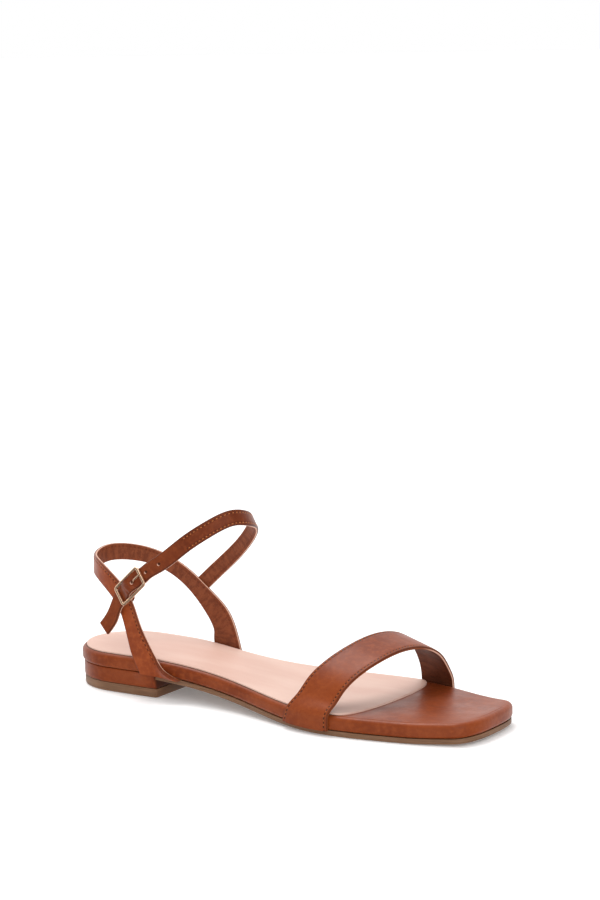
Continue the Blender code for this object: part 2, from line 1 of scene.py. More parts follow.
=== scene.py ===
"""Visual model of the ankle strap sandal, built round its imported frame, in metres.

The tables of the sole and the straps are those of the part's own source, so each piece
lies where its solid lies; here the straps get their full section, cut edges, stitches and
holes, and the sole pieces their soft wrapped edges.
"""
import math
from collections import namedtuple

import bmesh
import bpy
import numpy as np
from mathutils import Matrix, Vector


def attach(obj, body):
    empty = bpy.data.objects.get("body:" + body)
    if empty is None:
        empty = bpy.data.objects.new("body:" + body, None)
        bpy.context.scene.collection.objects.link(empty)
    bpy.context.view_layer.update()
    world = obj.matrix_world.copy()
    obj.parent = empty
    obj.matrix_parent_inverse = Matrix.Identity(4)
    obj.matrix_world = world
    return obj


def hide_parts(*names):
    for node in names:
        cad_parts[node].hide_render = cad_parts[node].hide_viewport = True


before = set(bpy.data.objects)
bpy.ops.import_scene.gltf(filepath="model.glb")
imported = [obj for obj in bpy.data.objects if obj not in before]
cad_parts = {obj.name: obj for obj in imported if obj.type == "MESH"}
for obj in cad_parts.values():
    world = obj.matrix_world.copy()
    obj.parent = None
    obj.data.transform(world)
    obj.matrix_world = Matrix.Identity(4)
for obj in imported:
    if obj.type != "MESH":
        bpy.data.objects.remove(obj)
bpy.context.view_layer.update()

# Sole sizes
LAST_LENGTH = 0.2500
SHOE_LENGTH = 0.2535
BALL_WIDTH = 0.0840
WAIST_WIDTH = 0.0480
HEEL_WIDTH = 0.0543
TOE_WIDTH = 0.0530
HEEL_HEIGHT = 0.0205
TOE_SPRING = 0.0013
HEEL_LENGTH = 0.0625
HEEL_ROUND = 0.0300
TOE_ROUND = 0.0120
CLEARANCE = 0.0003
BED_THICKNESS = 0.0076
BED_TOP_ROUND = 0.0028
BED_BOTTOM_ROUND = 0.0020
OUTSOLE_THICKNESS = 0.0025
OUTSOLE_INSET = 0.0005
TOP_LIFT_THICKNESS = 0.0046
TOP_LIFT_INSET = 0.0012
BLOCK_INSET = 0.0009
SOCK_THICKNESS = 0.0006
SOCK_INSET = 0.0024
SOCK_LENGTH = 0.1960
SOCK_ROUND = 0.0140
SOCK_SKEW = 0.05
FOREFOOT_HEIGHT = OUTSOLE_THICKNESS + CLEARANCE + BED_THICKNESS
BALL_FLAT = (0.704, 0.850)
HEEL_SEAT_END = 0.21
TOE_POWER = 2.7
SOCK_POWER = 2.4
ROUND_POWER = 2.0

# Rounded edges, square corners and crowned faces of the sole pieces
SOCK_EDGE_ROUND = 0.00035
SOLE_EDGE_ROUND = 0.0005
SOLE_TOP_ROUND = 0.0003
BLOCK_EDGE_ROUND = 0.0007
BLOCK_CORNER = 0.0014
LIFT_CORNER = 0.0012
BED_CROWN = 0.00035
SOCK_CROWN = 0.00030
HEEL_STEPS = (60, 22)

# What the sole pieces take up of the gaps between the solids
SOCK_SINK = 0.0001
OUTSOLE_GAP = 0.00012
LIFT_RISE = 0.0001
BLOCK_GAP = 0.00005

# Painted shadow line round the sock, a thin dark plate where sock meets bed: reach past it at foot and
# top, rise, what its front lacks
LINE_FOOT, LINE_TOP = 0.00045, 0.00030
LINE_RISE = 0.00012
LINE_SHORT = 0.0005

# The heel block's swell towards its front: size, start, run, height
FLANK = 0.0016
FLANK_FROM = 0.046
FLANK_RUN = 0.010
FLANK_HEIGHT = 0.007

# Straps and buckle
STRAP_THICKNESS = 0.0018
BAND_WIDTH = 0.0095
BAND_HEIGHT = 0.0660
ANKLE_STRAP_WIDTH = 0.0085
ANKLE_HEIGHT = 0.0980
TOE_STRAP_WIDTH = 0.0235
INSTEP_HEIGHT = 0.0410
STRAP_TUCK = 0.0003
STRAP_CORNER = 0.00045
CORNER_STEPS = 4
BUCKLE_LENGTH = 0.0207
BUCKLE_WIDTH = 0.0125
BUCKLE_CORNER = 0.0014
BUCKLE_BAR = 0.0016
CENTRE_BAR = 0.0014
CENTRE_BAR_DROP = 0.0017
CENTRE_BAR_BEND = 0.0003
BUCKLE_RISE_ANGLE = 42.5
BUCKLE_LEAN_ANGLE = 14.0
PRONG_WIRE = 0.0010
FRAME_SIDES, BAR_SIDES, PRONG_SIDES = 20, 16, 14
FRAME_POWER = 2.6
FRAME_STEPS = 8
EYE_STEPS, EYE_FROM, EYE_TURN = 24, 30.0, 285.0

# The ankle strap's upper edge swells under the front bar: how far before the centre bar,
# reach, size
SWELL_BEFORE = 0.0072
SWELL_REACH = 0.0026
SWELL = 0.0021

# For the straps' shaders, at each vertex: distances along, from the lower edge and from the
# nearer edge, level (-1 inner face to 1 outer), distance from the sewn edge
STRAP_LAYERS = ("along", "across", "gap", "level", "seam")

# Relief of a strap's outer face: soft padding, groove of a seam, sunk and rimmed holes
STRAP_PAD = 0.00012
SEAM_SINK = 0.00018
SEAM_REACH = 0.0004
HOLE_SINK = 0.0008
HOLE_RIM = 0.00012
CREASE_GAP = 0.0002

# Stitching: pitch, length and radius of a stitch, and its distance from the cut edge;
# NO_SEAM stands where nothing is sewn
STITCH_PITCH = 0.0022
STITCH_LENGTH = 0.0012
STITCH_RADIUS = 0.00026
STITCH_INSET = 0.0016
NO_SEAM = 0.01
STITCH_SIDES = 6
STITCH_ROWS = (
    (-0.5, 0.25, -0.9), (-0.36, 0.85, -0.15), (0.0, 1.0, 0.2), (0.36, 0.85, -0.15), (0.5, 0.25, -0.9),
)

# along: share of LAST_LENGTH, size: the width that the row follows, share: its share,
# lateral: the part of the width on the lateral side of the centre line
SoleRow = namedtuple("SoleRow", "along size share lateral")
SOLE_ROWS = [SoleRow(*row) for row in (
    (0.000, HEEL_WIDTH, 1.000, 0.520),
    (0.120, HEEL_WIDTH, 1.000, 0.520),
    (0.220, HEEL_WIDTH, 0.970, 0.530),
    (0.340, WAIST_WIDTH, 1.000, 0.565),
    (0.460, WAIST_WIDTH, 1.110, 0.567),
    (0.560, BALL_WIDTH, 0.818, 0.534),
    (0.660, BALL_WIDTH, 0.985, 0.510),
    (0.760, BALL_WIDTH, 0.995, 0.501),
    (0.848, BALL_WIDTH, 0.890, 0.511),
    (0.920, TOE_WIDTH, 1.211, 0.526),
    (0.968, TOE_WIDTH, 1.070, 0.521),
    (1.012, TOE_WIDTH, 0.988, 0.510),
)]
# up: share of BED_THICKNESS above the footbed's underside, back and front: shares of
# LAST_LENGTH
FootRow = namedtuple("FootRow", "up back front")
BAND_LATERAL_FOOT = [FootRow(*row) for row in (
    (0.00, 0.215, 0.316),
    (0.27, 0.212, 0.292),
    (0.55, 0.208, 0.275),
    (0.95, 0.202, 0.264),
)]
BAND_MEDIAL_FOOT = [FootRow(*row) for row in (
    (0.95, 0.259, 0.335),
    (0.60, 0.262, 0.338),
    (0.30, 0.265, 0.340),
    (0.00, 0.267, 0.342),
)]
TOE_LATERAL_FOOT = [FootRow(*row) for row in (
    (0.00, 0.610, 0.724),
    (0.27, 0.613, 0.724),
    (0.55, 0.616, 0.724),
    (0.95, 0.621, 0.725),
)]
TOE_MEDIAL_FOOT = [FootRow(*row) for row in (
    (0.95, 0.738, 0.822),
    (0.55, 0.738, 0.822),
    (0.27, 0.737, 0.821),
    (0.00, 0.737, 0.821),
)]
# along, out, up: the strap's middle as shares of LAST_LENGTH, half a width and a height,
# wide: share of the strap's width, slant and splay: the way across it, in degrees
StrapRow = namedtuple("StrapRow", "along out up wide slant splay")
BAND_ROWS = [StrapRow(*row) for row in (
    (0.215, -1.08, 0.435, 1.32, 66, -2),
    (0.200, -1.07, 0.573, 1.10, 66, -3),
    (0.176, -1.04, 0.768, 1.09, 54, -5),
    (0.134, -0.97, 0.908, 1.08, 30, -6),
    (0.084, -0.75, 0.985, 1.06, 9, -3),
    (0.043, -0.33, 0.992, 1.02, 1, 0),
    (0.026, 0.00, 1.000, 0.99, 1, -3),
    (0.025, 0.34, 1.012, 0.98, 1, 0),
    (0.061, 0.72, 0.998, 0.95, 6, 4),
    (0.120, 0.89, 0.944, 0.90, 18, 4),
    (0.183, 0.93, 0.829, 0.93, 33, 2),
    (0.241, 0.94, 0.647, 1.17, 48, 1),
    (0.283, 0.915, 0.452, 1.52, 64, -2),
)]
ANKLE_ROWS = [StrapRow(*row) for row in (
    (0.204, 1.00, 0.477, 1.00, -45, -4),
    (0.260, 1.01, 0.606, 1.00, -41, 0),
    (0.321, 0.95, 0.739, 1.00, -39, 7),
    (0.371, 0.74, 0.855, 1.00, -50, 12),
    (0.409, 0.35, 0.941, 1.00, -40, 12),
    (0.427, -0.10, 0.988, 1.00, -25, 4),
    (0.418, -0.52, 1.006, 1.00, -18, -4),
    (0.385, -0.83, 0.957, 1.00, -29, -7),
    (0.332, -1.01, 0.861, 1.00, -36, 0),
    (0.272, -1.10, 0.745, 1.00, -40, 6),
)]
TAIL_ROWS = [StrapRow(*row) for row in (
    (0.158, -1.18, 0.446, 1.00, -52, 13),
    (0.137, -1.22, 0.367, 1.00, -50, 13),
)]
TOE_ROWS = [StrapRow(*row) for row in (
    (0.685, -0.93, 0.40, 1.00, 95, -3),
    (0.697, -0.83, 0.56, 0.99, 97, -5),
    (0.717, -0.65, 0.745, 0.98, 99, -8),
    (0.743, -0.36, 0.900, 0.97, 101, -12),
    (0.761, 0.05, 0.965, 0.96, 102, -15),
    (0.774, 0.45, 0.900, 0.95, 101, -16),
    (0.780, 0.71, 0.745, 0.95, 99, -15),
    (0.782, 0.855, 0.56, 0.93, 98, -13),
    (0.783, 0.935, 0.40, 0.92, 95, -11),
)]
BUCKLE_SPOT = (0.2056, 1.046, 0.6173)
# The strap through the buckle: shares of the inner half length and of the rise
BUCKLE_LEVELS = (
    (1.22, 0.00), (1.00, 0.00), (0.55, 0.42), (0.00, 1.00),
    (-0.55, 0.42), (-1.00, 0.00), (-1.22, 0.00),
)
# The prong past its eye: share of the inner half length, rise in wire widths
PRONG_ROWS = ((0.34, -1.9), (0.46, -0.5), (0.60, 0.1), (0.80, 0.1), (1.00, 0.0), (1.14, -0.3))

# Punched holes of the ankle strap: how far before the centre bar, radius
HOLES = ((0.0036, 0.0009), (0.0139, 0.0008), (0.0232, 0.0008))

# Creases: where along the strap, where across it from its lower edge, reach along and
# across, depth (negative sinks), lean of the crease
Crease = namedtuple("Crease", "along across wide long depth lean")
FLARE = Crease(0.0065, 0.0200, 0.0055, 0.0055, 0.0024, -0.3)
BUCKLE_CREASES = (
    Crease(-0.0040, 0.0010, 0.0009, 0.0040, -0.00055, 0.7),
    Crease(-0.0014, 0.0010, 0.0008, 0.0044, -0.00060, 0.5),
    Crease(0.0010, 0.0005, 0.0008, 0.0038, -0.00045, 0.3),
)

# Seams: lower (-1) or upper (1) edge, start, and end counted from the strap's far end
TOE_SEAMS = ((-1, 0.001, -0.001), (1, 0.001, -0.001))
BAND_SEAMS = ((1, 0.012, -0.006),)
ANKLE_SEAM_START = 0.012
ANKLE_SEAM_STOP = 0.042

# Points across a rung, steps along a strap, steps across its face
BAND_POINTS, TOE_STRAP_POINTS = 4, 6
BAND_STEPS, TOE_STEPS, ANKLE_STEPS, RUN_STEPS = 300, 220, 420, 400
FACE_STEPS, TOE_FACE_STEPS = 26, 56


# Shapes

def natural_spline(knots, values):
    """Second derivatives of the natural cubic spline through the values."""
    count = len(knots)
    gaps = np.diff(knots)
    system = np.eye(count)
    right = np.zeros_like(values)
    for i in range(1, count - 1):
        system[i, i - 1] = gaps[i - 1]
        system[i, i] = 2.0 * (gaps[i - 1] + gaps[i])
        system[i, i + 1] = gaps[i]
        slopes = (values[i] - values[i - 1]) / gaps[i - 1], (values[i + 1] - values[i]) / gaps[i]
        right[i] = 6.0 * (slopes[1] - slopes[0])
    return np.linalg.solve(system, right)


def spline_at(knots, values, bends, at):
    i = int(np.clip(np.searchsorted(knots, at) - 1, 0, len(knots) - 2))
    gap = knots[i + 1] - knots[i]
    a = (knots[i + 1] - at) / gap
    b = 1.0 - a
    curve = ((a ** 3 - a) * bends[i] + (b ** 3 - b) * bends[i + 1]) * gap * gap / 6.0
    return a * values[i] + b * values[i + 1] + curve


SOLE_KNOTS = np.array([row.along for row in SOLE_ROWS])
SOLE_SIDES = np.array([
    (row.size * row.share * row.lateral, row.size * row.share * (1.0 - row.lateral))
    for row in SOLE_ROWS
])
SOLE_BENDS = natural_spline(SOLE_KNOTS, SOLE_SIDES)


def sole_sides(x):
    return spline_at(SOLE_KNOTS, SOLE_SIDES, SOLE_BENDS, x / LAST_LENGTH)


def bed_top(x):
    """Height of the footbed's upper face: heel seat, waist slope, ball, toe spring."""
    share = x / LAST_LENGTH
    slope = min(max((share - HEEL_SEAT_END) / (BALL_FLAT[0] - HEEL_SEAT_END), 0.0), 1.0)
    height = HEEL_HEIGHT - (HEEL_HEIGHT - FOREFOOT_HEIGHT) * slope * slope * (3.0 - 2.0 * slope)
    lift = max(share - BALL_FLAT[1], 0.0) / (1.0 - BALL_FLAT[1])
    return height + TOE_SPRING * lift * lift


def bed_bottom(x):
    return bed_top(x) - BED_THICKNESS


def place(x, y, z):
    return Vector((x - SHOE_LENGTH / 2.0, y, z))


def hump(value, middle, reach):
    return math.exp(-((value - middle) / reach) ** 2)


def ease(value):
    value = min(max(value, 0.0), 1.0)
    return value * value * (3.0 - 2.0 * value)


def add_object(name, data):
    made = bpy.data.objects.new(name, data)
    bpy.context.scene.collection.objects.link(made)
    return made


def finish_mesh(bm, name, material, angle=40.0):
    bmesh.ops.recalc_face_normals(bm, faces=bm.faces)
    mesh = bpy.data.meshes.new(name)
    bm.to_mesh(mesh)
    bm.free()
    mesh.materials.append(material)
    mesh.shade_smooth()
    mesh.set_sharp_from_angle(angle=math.radians(angle))
    return add_object(name, mesh)


def stations(back, front, back_round, front_round, front_power, straight, arc):
    """Places along a sole piece, each with its share of the full width."""
    found = []
    if back_round > 0.0:
        for i in range(arc):
            angle = 0.5 * math.pi * i / arc
            found.append((back + back_round * (1.0 - math.cos(angle)), math.sin(angle)))
    start = back + back_round
    end = front - front_round
    for i in range(straight + 1):
        found.append((start + (end - start) * i / straight, 1.0))
    if front_round > 0.0:
        for i in range(1, arc + 1):
            angle = 0.5 * math.pi * i / arc
            across = math.cos(angle) ** (2.0 / front_power)
            found.append((end + front_round * math.sin(angle) ** (2.0 / front_power), across))
    return found


def plate(name, rings, back, front, rounds, power, material, skew=0.0, corner=0.0, crown=0.0,
          bulge=None, steps=(90, 22), across_steps=24):
    """Closed plate from rings stacked upwards, with a fine grid over its two faces."""
    bm = bmesh.new()
    back_round, front_round = rounds
    loops = []
    for inset, height in rings:
        spots = stations(back + inset, front - inset, max(back_round - inset, 0.0),
                         max(front_round - inset, 0.0), power, *steps)
        lateral, medial = [], []
        for x, across in spots:
            wide = sole_sides(x)
            cut = 0.0
            if corner and x > front - inset - corner:
                cut = corner - math.sqrt(max(corner ** 2 - (x - front + inset + corner) ** 2, 0.0))
            push = bulge(x, height(x)) if bulge else 0.0
            y_lateral = -(wide[0] - inset + push - cut) * across
            y_medial = (wide[1] - inset - cut) * across
            forward = max(x - (front - 2.0 * front_round), 0.0) / (2.0 * front_round or 1.0)
            lateral.append((x + skew * y_lateral * forward, y_lateral, height(x)))
            medial.append((x + skew * y_medial * forward, y_medial, height(x)))
        loops.append((lateral, medial))
    rows = []
    for lateral, medial in loops:
        rows.append([[bm.verts.new(place(*spot)) for spot in side] for side in (lateral, medial)])
    for end, rise in ((0, 0.0), (-1, crown)):
        lateral, medial = loops[end]
        grid = []
        for i in range(len(lateral)):
            line = [rows[end][0][i]]
            for k in range(1, across_steps):
                share = k / across_steps
                point = Vector(lateral[i]).lerp(Vector(medial[i]), share)
                width = medial[i][1] - lateral[i][1]
                point.z += rise * (1.0 - (2.0 * share - 1.0) ** 4) * min(width / 0.04, 1.0)
                line.append(bm.verts.new(place(*point)))
            line.append(rows[end][1][i])
            grid.append(line)
        for first, second in zip(grid, grid[1:]):
            for k in range(across_steps):
                bm.faces.new((first[k], first[k + 1], second[k + 1], second[k]))
    for lower, upper in zip(rows, rows[1:]):
        for low, high in zip(lower, upper):
            for i in range(1, len(low)):
                bm.faces.new((low[i - 1], low[i], high[i], high[i - 1]))
    for spot, rounding in ((0, back_round), (-1, front_round)):
        if rounding == 0.0:
            for low, high in zip(rows, rows[1:]):
                bm.faces.new((low[0][spot], low[1][spot], high[1][spot], high[0][spot]))
    bmesh.ops.remove_doubles(bm, verts=bm.verts, dist=2e-6)
    bmesh.ops.dissolve_degenerate(bm, edges=bm.edges, dist=1e-6)
    open_edges = [edge for edge in bm.edges if edge.is_boundary]
    if open_edges:
        bmesh.ops.holes_fill(bm, edges=open_edges, sides=0)
    return finish_mesh(bm, name, material)


def quarter(radius, height, upwards, steps):
    rings = []
    for i in range(steps + 1):
        angle = 0.5 * math.pi * i / steps
        if upwards:
            inset = radius * (1.0 - math.cos(angle))
            drop = radius * (1.0 - math.sin(angle))
            rings.append((inset, lambda x, d=drop: height(x) - d))
        else:
            inset = radius * (1.0 - math.sin(angle))
            rise = radius * (1.0 - math.cos(angle))
            rings.append((inset, lambda x, r=rise: height(x) + r))
    return rings


def foot_rungs(rows, side, count):
    """Rungs of a strap's foot against the footbed's side, -1 lateral or 1 medial."""
    rungs = []
    for row in rows:
        under_edge = max(1.0 - row.up * BED_THICKNESS / BED_BOTTOM_ROUND, 0.0)
        stand_off = CLEARANCE + STRAP_THICKNESS / 2.0 - STRAP_TUCK * under_edge ** 2
        points = []
        for share in np.linspace(row.back, row.front, count):
            x = share * LAST_LENGTH
            wide = sole_sides(x)[0 if side < 0 else 1]
            up = bed_bottom(x) + row.up * BED_THICKNESS
            points.append(place(x, side * (wide + stand_off), up))
        rungs.append(points)
    return rungs


def strap_rungs(rows, half_width, height, strap_width, count):
    rungs = []
    for row in rows:
        slant = math.radians(row.slant)
        splay = math.radians(row.splay)
        middle = place(row.along * LAST_LENGTH, row.out * half_width, row.up * height)
        flat = math.cos(splay)
        across = Vector((math.sin(slant) * flat, math.sin(splay), math.cos(slant) * flat))
        half = row.wide * strap_width / 2.0
        rungs.append([middle + across * (half * share) for share in np.linspace(-1.0, 1.0, count)])
    return rungs


def run_lengths(points):
    return np.concatenate([[0.0], np.cumsum(np.linalg.norm(np.diff(points, axis=0), axis=1))])


def dense_strip(rungs, steps, shares):
    """Points on the smooth surface through the rungs: steps along it, shares across it."""
    values = np.array([[tuple(point) for point in rung] for rung in rungs])
    knots = run_lengths(values.mean(axis=1))
    flat = values.reshape(len(rungs), -1)
    bends = natural_spline(knots, flat)
    count = values.shape[1]
    cross_knots = np.linspace(0.0, 1.0, count)
    strip = []
    for at in np.linspace(0.0, knots[-1], steps + 1):
        rung = spline_at(knots, flat, bends, at).reshape(-1, 3)
        if count == 2:
            strip.append([rung[0] * (1.0 - share) + rung[1] * share for share in shares])
        else:
            rung_bends = natural_spline(cross_knots, rung)
            strip.append([spline_at(cross_knots, rung, rung_bends, share) for share in shares])
    return np.array(strip)


def run_along(rungs):
    middle = dense_strip(rungs, RUN_STEPS, (0.5,))[:, 0]
    return middle, run_lengths(middle)


def section(width, half, face_steps):
    """Half of a strap's section from the middle of one edge to the other: distance, height."""
    corner = STRAP_CORNER
    found = [(0.0, 0.0), (0.0, 0.5 * (half - corner)), (0.0, half - corner)]
    for i in range(1, CORNER_STEPS + 1):
        angle = 0.5 * math.pi * i / CORNER_STEPS
        found.append((corner * (1.0 - math.cos(angle)), half - corner * (1.0 - math.sin(angle))))
    edge_count = len(found)
    for i in range(1, face_steps):
        found.append((corner + (width - 2.0 * corner) * i / face_steps, half))
    return found + [(width - d, h) for d, h in reversed(found[:edge_count])]


def seam_distance(seams, along, end, across, width):
    """How far a spot lies from the edge that is sewn there, or NO_SEAM."""
    found = NO_SEAM
    for edge, start, stop in seams:
        if start - STITCH_PITCH < along < end + stop:
            found = min(found, across if edge < 0 else width - across)
    return found


def outer_relief(rise, share, seam, holes, along, from_middle):
    """Height of the outer face with its padding, seam groove and punched holes."""
    rise += STRAP_PAD * (1.0 - (2.0 * share - 1.0) ** 4)
    rise -= SEAM_SINK * hump(seam, STITCH_INSET, SEAM_REACH)
    for hole_at, radius in holes:
        off = math.hypot(along - hole_at, from_middle)
        rise -= HOLE_SINK * ease((radius * 1.1 - off) / (0.45 * radius))
        rise += HOLE_RIM * hump(off, radius * 1.35, radius * 0.35)
    return rise


def strap(name, rungs, steps, width, material, seams=(), creases=(), holes=(),
          face_steps=FACE_STEPS, swell_at=None):
    """Strap with its full section; returns the object and its outer face for stitching."""
    half = STRAP_THICKNESS / 2.0
    profile = section(width, half, face_steps)
    shares = [d / width for d, _ in profile]
    strip = dense_strip(rungs, steps, shares)
    along_way = np.gradient(strip, axis=0)
    across_way = np.gradient(strip, axis=1)
    for k in (0, 1, 2):  # three points at one place across have no way of their own
        across_way[:, k] = across_way[:, 4]
        across_way[:, -1 - k] = across_way[:, -5]
    normal = np.cross(across_way, along_way)
    normal /= np.linalg.norm(normal, axis=2)[:, :, None]
    length = run_lengths(strip.mean(axis=1))
    real_width = np.linalg.norm(strip[:, -1] - strip[:, 0], axis=1)
    bm = bmesh.new()
    layers = [bm.verts.layers.float.new(key) for key in STRAP_LAYERS]
    loops = []
    outer = np.zeros_like(strip)
    last = len(profile) - 1
    for i, (at, wide) in enumerate(zip(length, real_width)):
        rings = {}
        for side in (-1.0, 1.0):
            for k, (d, h) in enumerate(profile):
                across = shares[k] * wide
                gap = min(across, wide - across)
                rise = h
                seam = NO_SEAM
                if gap > STRAP_CORNER:
                    seam = seam_distance(seams, at, length[-1], across, wide)
                    if side > 0.0:
                        rise = outer_relief(rise, shares[k], seam, holes, at, across - 0.5 * wide)
                if gap > CREASE_GAP:
                    for crease in creases:
                        shift = at - crease.along - crease.lean * (across - crease.across)
                        sink = crease.depth * hump(shift, 0.0, crease.wide)
                        rise += side * sink * hump(across, crease.across, crease.long)
                point = strip[i, k] + normal[i, k] * (side * rise)
                if swell_at is not None:
                    size = SWELL * hump(at, swell_at, SWELL_REACH) * shares[k] ** 3
                    point = point + (strip[i, -1] - strip[i, 0]) * (size / wide)
                if side > 0.0:
                    outer[i, k] = point
                if side < 0.0 or 0 < k < last:
                    vert = bm.verts.new(point)
                    level = side * min(h / half, 1.0)
                    for layer, value in zip(layers, (at, across, gap, level, seam)):
                        vert[layer] = value
                    rings[side, k] = vert
        rings[1.0, 0] = rings[-1.0, 0]
        rings[1.0, last] = rings[-1.0, last]
        loops.append(rings)
    for first, second in zip(loops, loops[1:]):
        for side in (-1.0, 1.0):
            for k in range(last):
                corners = (first[side, k], first[side, k + 1], second[side, k + 1], second[side, k])
                bm.faces.new(corners)
    for rings in (loops[0], loops[-1]):
        for k in range(last):
            corners = [rings[-1.0, k], rings[-1.0, k + 1], rings[1.0, k + 1], rings[1.0, k]]
            bm.faces.new([vert for n, vert in enumerate(corners) if vert not in corners[:n]])
    return finish_mesh(bm, name, material, angle=50.0), outer, normal, length, real_width


def stitches(name, built, seams, material):
    """Rows of sewn stitches on the outer face of a built strap."""
    _, outer, normal, length, real_width = built
    bm = bmesh.new()
    for edge, start, end in seams:
        at = (math.ceil(start / STITCH_PITCH) + 0.5) * STITCH_PITCH
        while at < length[-1] + end:
            points = []
            for where in (at - STITCH_LENGTH / 2.0, at, at + STITCH_LENGTH / 2.0):
                i = int(np.clip(np.searchsorted(length, where) - 1, 0, len(length) - 2))
                share = (where - length[i]) / (length[i + 1] - length[i])
                inset = STITCH_INSET / real_width[i]
                column = inset if edge < 0 else 1.0 - inset
                spread = np.linalg.norm(outer[i] - outer[i, 0], axis=1) / real_width[i]
                k = int(np.clip(np.searchsorted(spread, column), 1, outer.shape[1] - 1))
                part = (column - spread[k - 1]) / max(spread[k] - spread[k - 1], 1e-9)
                low, high = outer[i:i + 2, k - 1] * (1.0 - part) + outer[i:i + 2, k] * part
                points.append(low * (1.0 - share) + high * share)
            way = (Vector(points[2]) - Vector(points[0])).normalized()
            add_stitch(bm, Vector(points[1]), way, Vector(normal[i, k]))
            at += STITCH_PITCH
    return finish_mesh(bm, name, material, angle=180.0)


def tube(bm, loops, closed=False):
    """Faces from ring to ring; a tube that isn't closed gets its two ends."""
    pairs = list(zip(loops, loops[1:]))
    if closed:
        pairs.append((loops[-1], loops[0]))
    else:
        bm.faces.new(reversed(loops[0]))
        bm.faces.new(loops[-1])
    for first, second in pairs:
        for n in range(len(first)):
            bm.faces.new((first[n - 1], first[n], second[n], second[n - 1]))


def add_stitch(bm, middle, way, up):
    """One stitch: a short bead of thread whose ends dive into the leather."""
    side = way.cross(up).normalized()
    up = side.cross(way)
    loops = []
    for along, size, lift in STITCH_ROWS:
        centre = middle + way * (along * STITCH_LENGTH) + up * (lift * STITCH_RADIUS)
        loops.append([
            bm.verts.new(centre + (side * math.cos(a) + up * math.sin(a)) * (size * STITCH_RADIUS))
            for a in (math.pi * 2.0 * n / STITCH_SIDES for n in range(STITCH_SIDES))
        ])
    tube(bm, loops)


# Buckle

def buckle_axes():
    rise = math.radians(BUCKLE_RISE_ANGLE)
    lean = math.radians(BUCKLE_LEAN_ANGLE)
    along, share, up = BUCKLE_SPOT
    out = share * HEEL_WIDTH / 2.0 + 1.5 * STRAP_THICKNESS + 2.0 * CLEARANCE + BUCKLE_BAR / 2.0
    origin = place(along * LAST_LENGTH, -out, up * ANKLE_HEIGHT)
    forward = Vector((math.cos(rise), 0.0, math.sin(rise)))
    across = Matrix.Rotation(lean, 3, -forward) @ Vector((-math.sin(rise), 0.0, math.cos(rise)))
    return origin, forward, across, forward.cross(across)


ORIGIN, FORWARD, ACROSS, OUTWARD = buckle_axes()
INNER_HALF = BUCKLE_LENGTH / 2.0 - BUCKLE_BAR / 2.0
INNER_WIDE = BUCKLE_WIDTH / 2.0 - BUCKLE_BAR / 2.0
STRAP_UNDER_BAR = -(BUCKLE_BAR / 2.0 + CLEARANCE + STRAP_THICKNESS / 2.0)
PRONG_RADIUS = CENTRE_BAR / 2.0 + CLEARANCE + PRONG_WIRE / 2.0
EYE_TOP = PRONG_RADIUS + PRONG_WIRE / 2.0
STRAP_OVER_BAR = EYE_TOP - CENTRE_BAR_DROP + CLEARANCE + STRAP_THICKNESS / 2.0


def buckle_point(forward, across, outward):
    return ORIGIN + FORWARD * forward + ACROSS * across + OUTWARD * outward


def buckle_strap_rungs():
    half = ANKLE_STRAP_WIDTH / 2.0
    rungs = []
    for share, level in BUCKLE_LEVELS:
        outward = STRAP_UNDER_BAR + (STRAP_OVER_BAR - STRAP_UNDER_BAR) * level
        middle = buckle_point(share * INNER_HALF, 0.0, outward)
        rungs.append([middle - ACROSS * half, middle + ACROSS * half])
    return rungs


def wire(bm, points, radii, sides, closed=False, power=2.0):
    """Bar along the points; power above 2 makes its section squarer."""
    loops = []
    count = len(points)
    for i, point in enumerate(points):
        before = points[i - 1] if i > 0 or closed else point
        after = points[(i + 1) % count] if i < count - 1 or closed else point
        along = (after - before).normalized()
        level = OUTWARD if closed else ACROSS
        up = level - along * level.dot(along)
        if up.length < 0.1:
            up = FORWARD - along * FORWARD.dot(along)
        up.normalize()
        side = along.cross(up)
        radius = radii[i] if isinstance(radii, (list, tuple)) else radii
        ring = []
        for n in range(sides):
            angle = 2.0 * math.pi * n / sides
            c, s = math.cos(angle), math.sin(angle)
            size = radius / (abs(c) ** power + abs(s) ** power) ** (1.0 / power)
            ring.append(bm.verts.new(point + (up * c + side * s) * size))
        loops.append(ring)
    tube(bm, loops, closed)


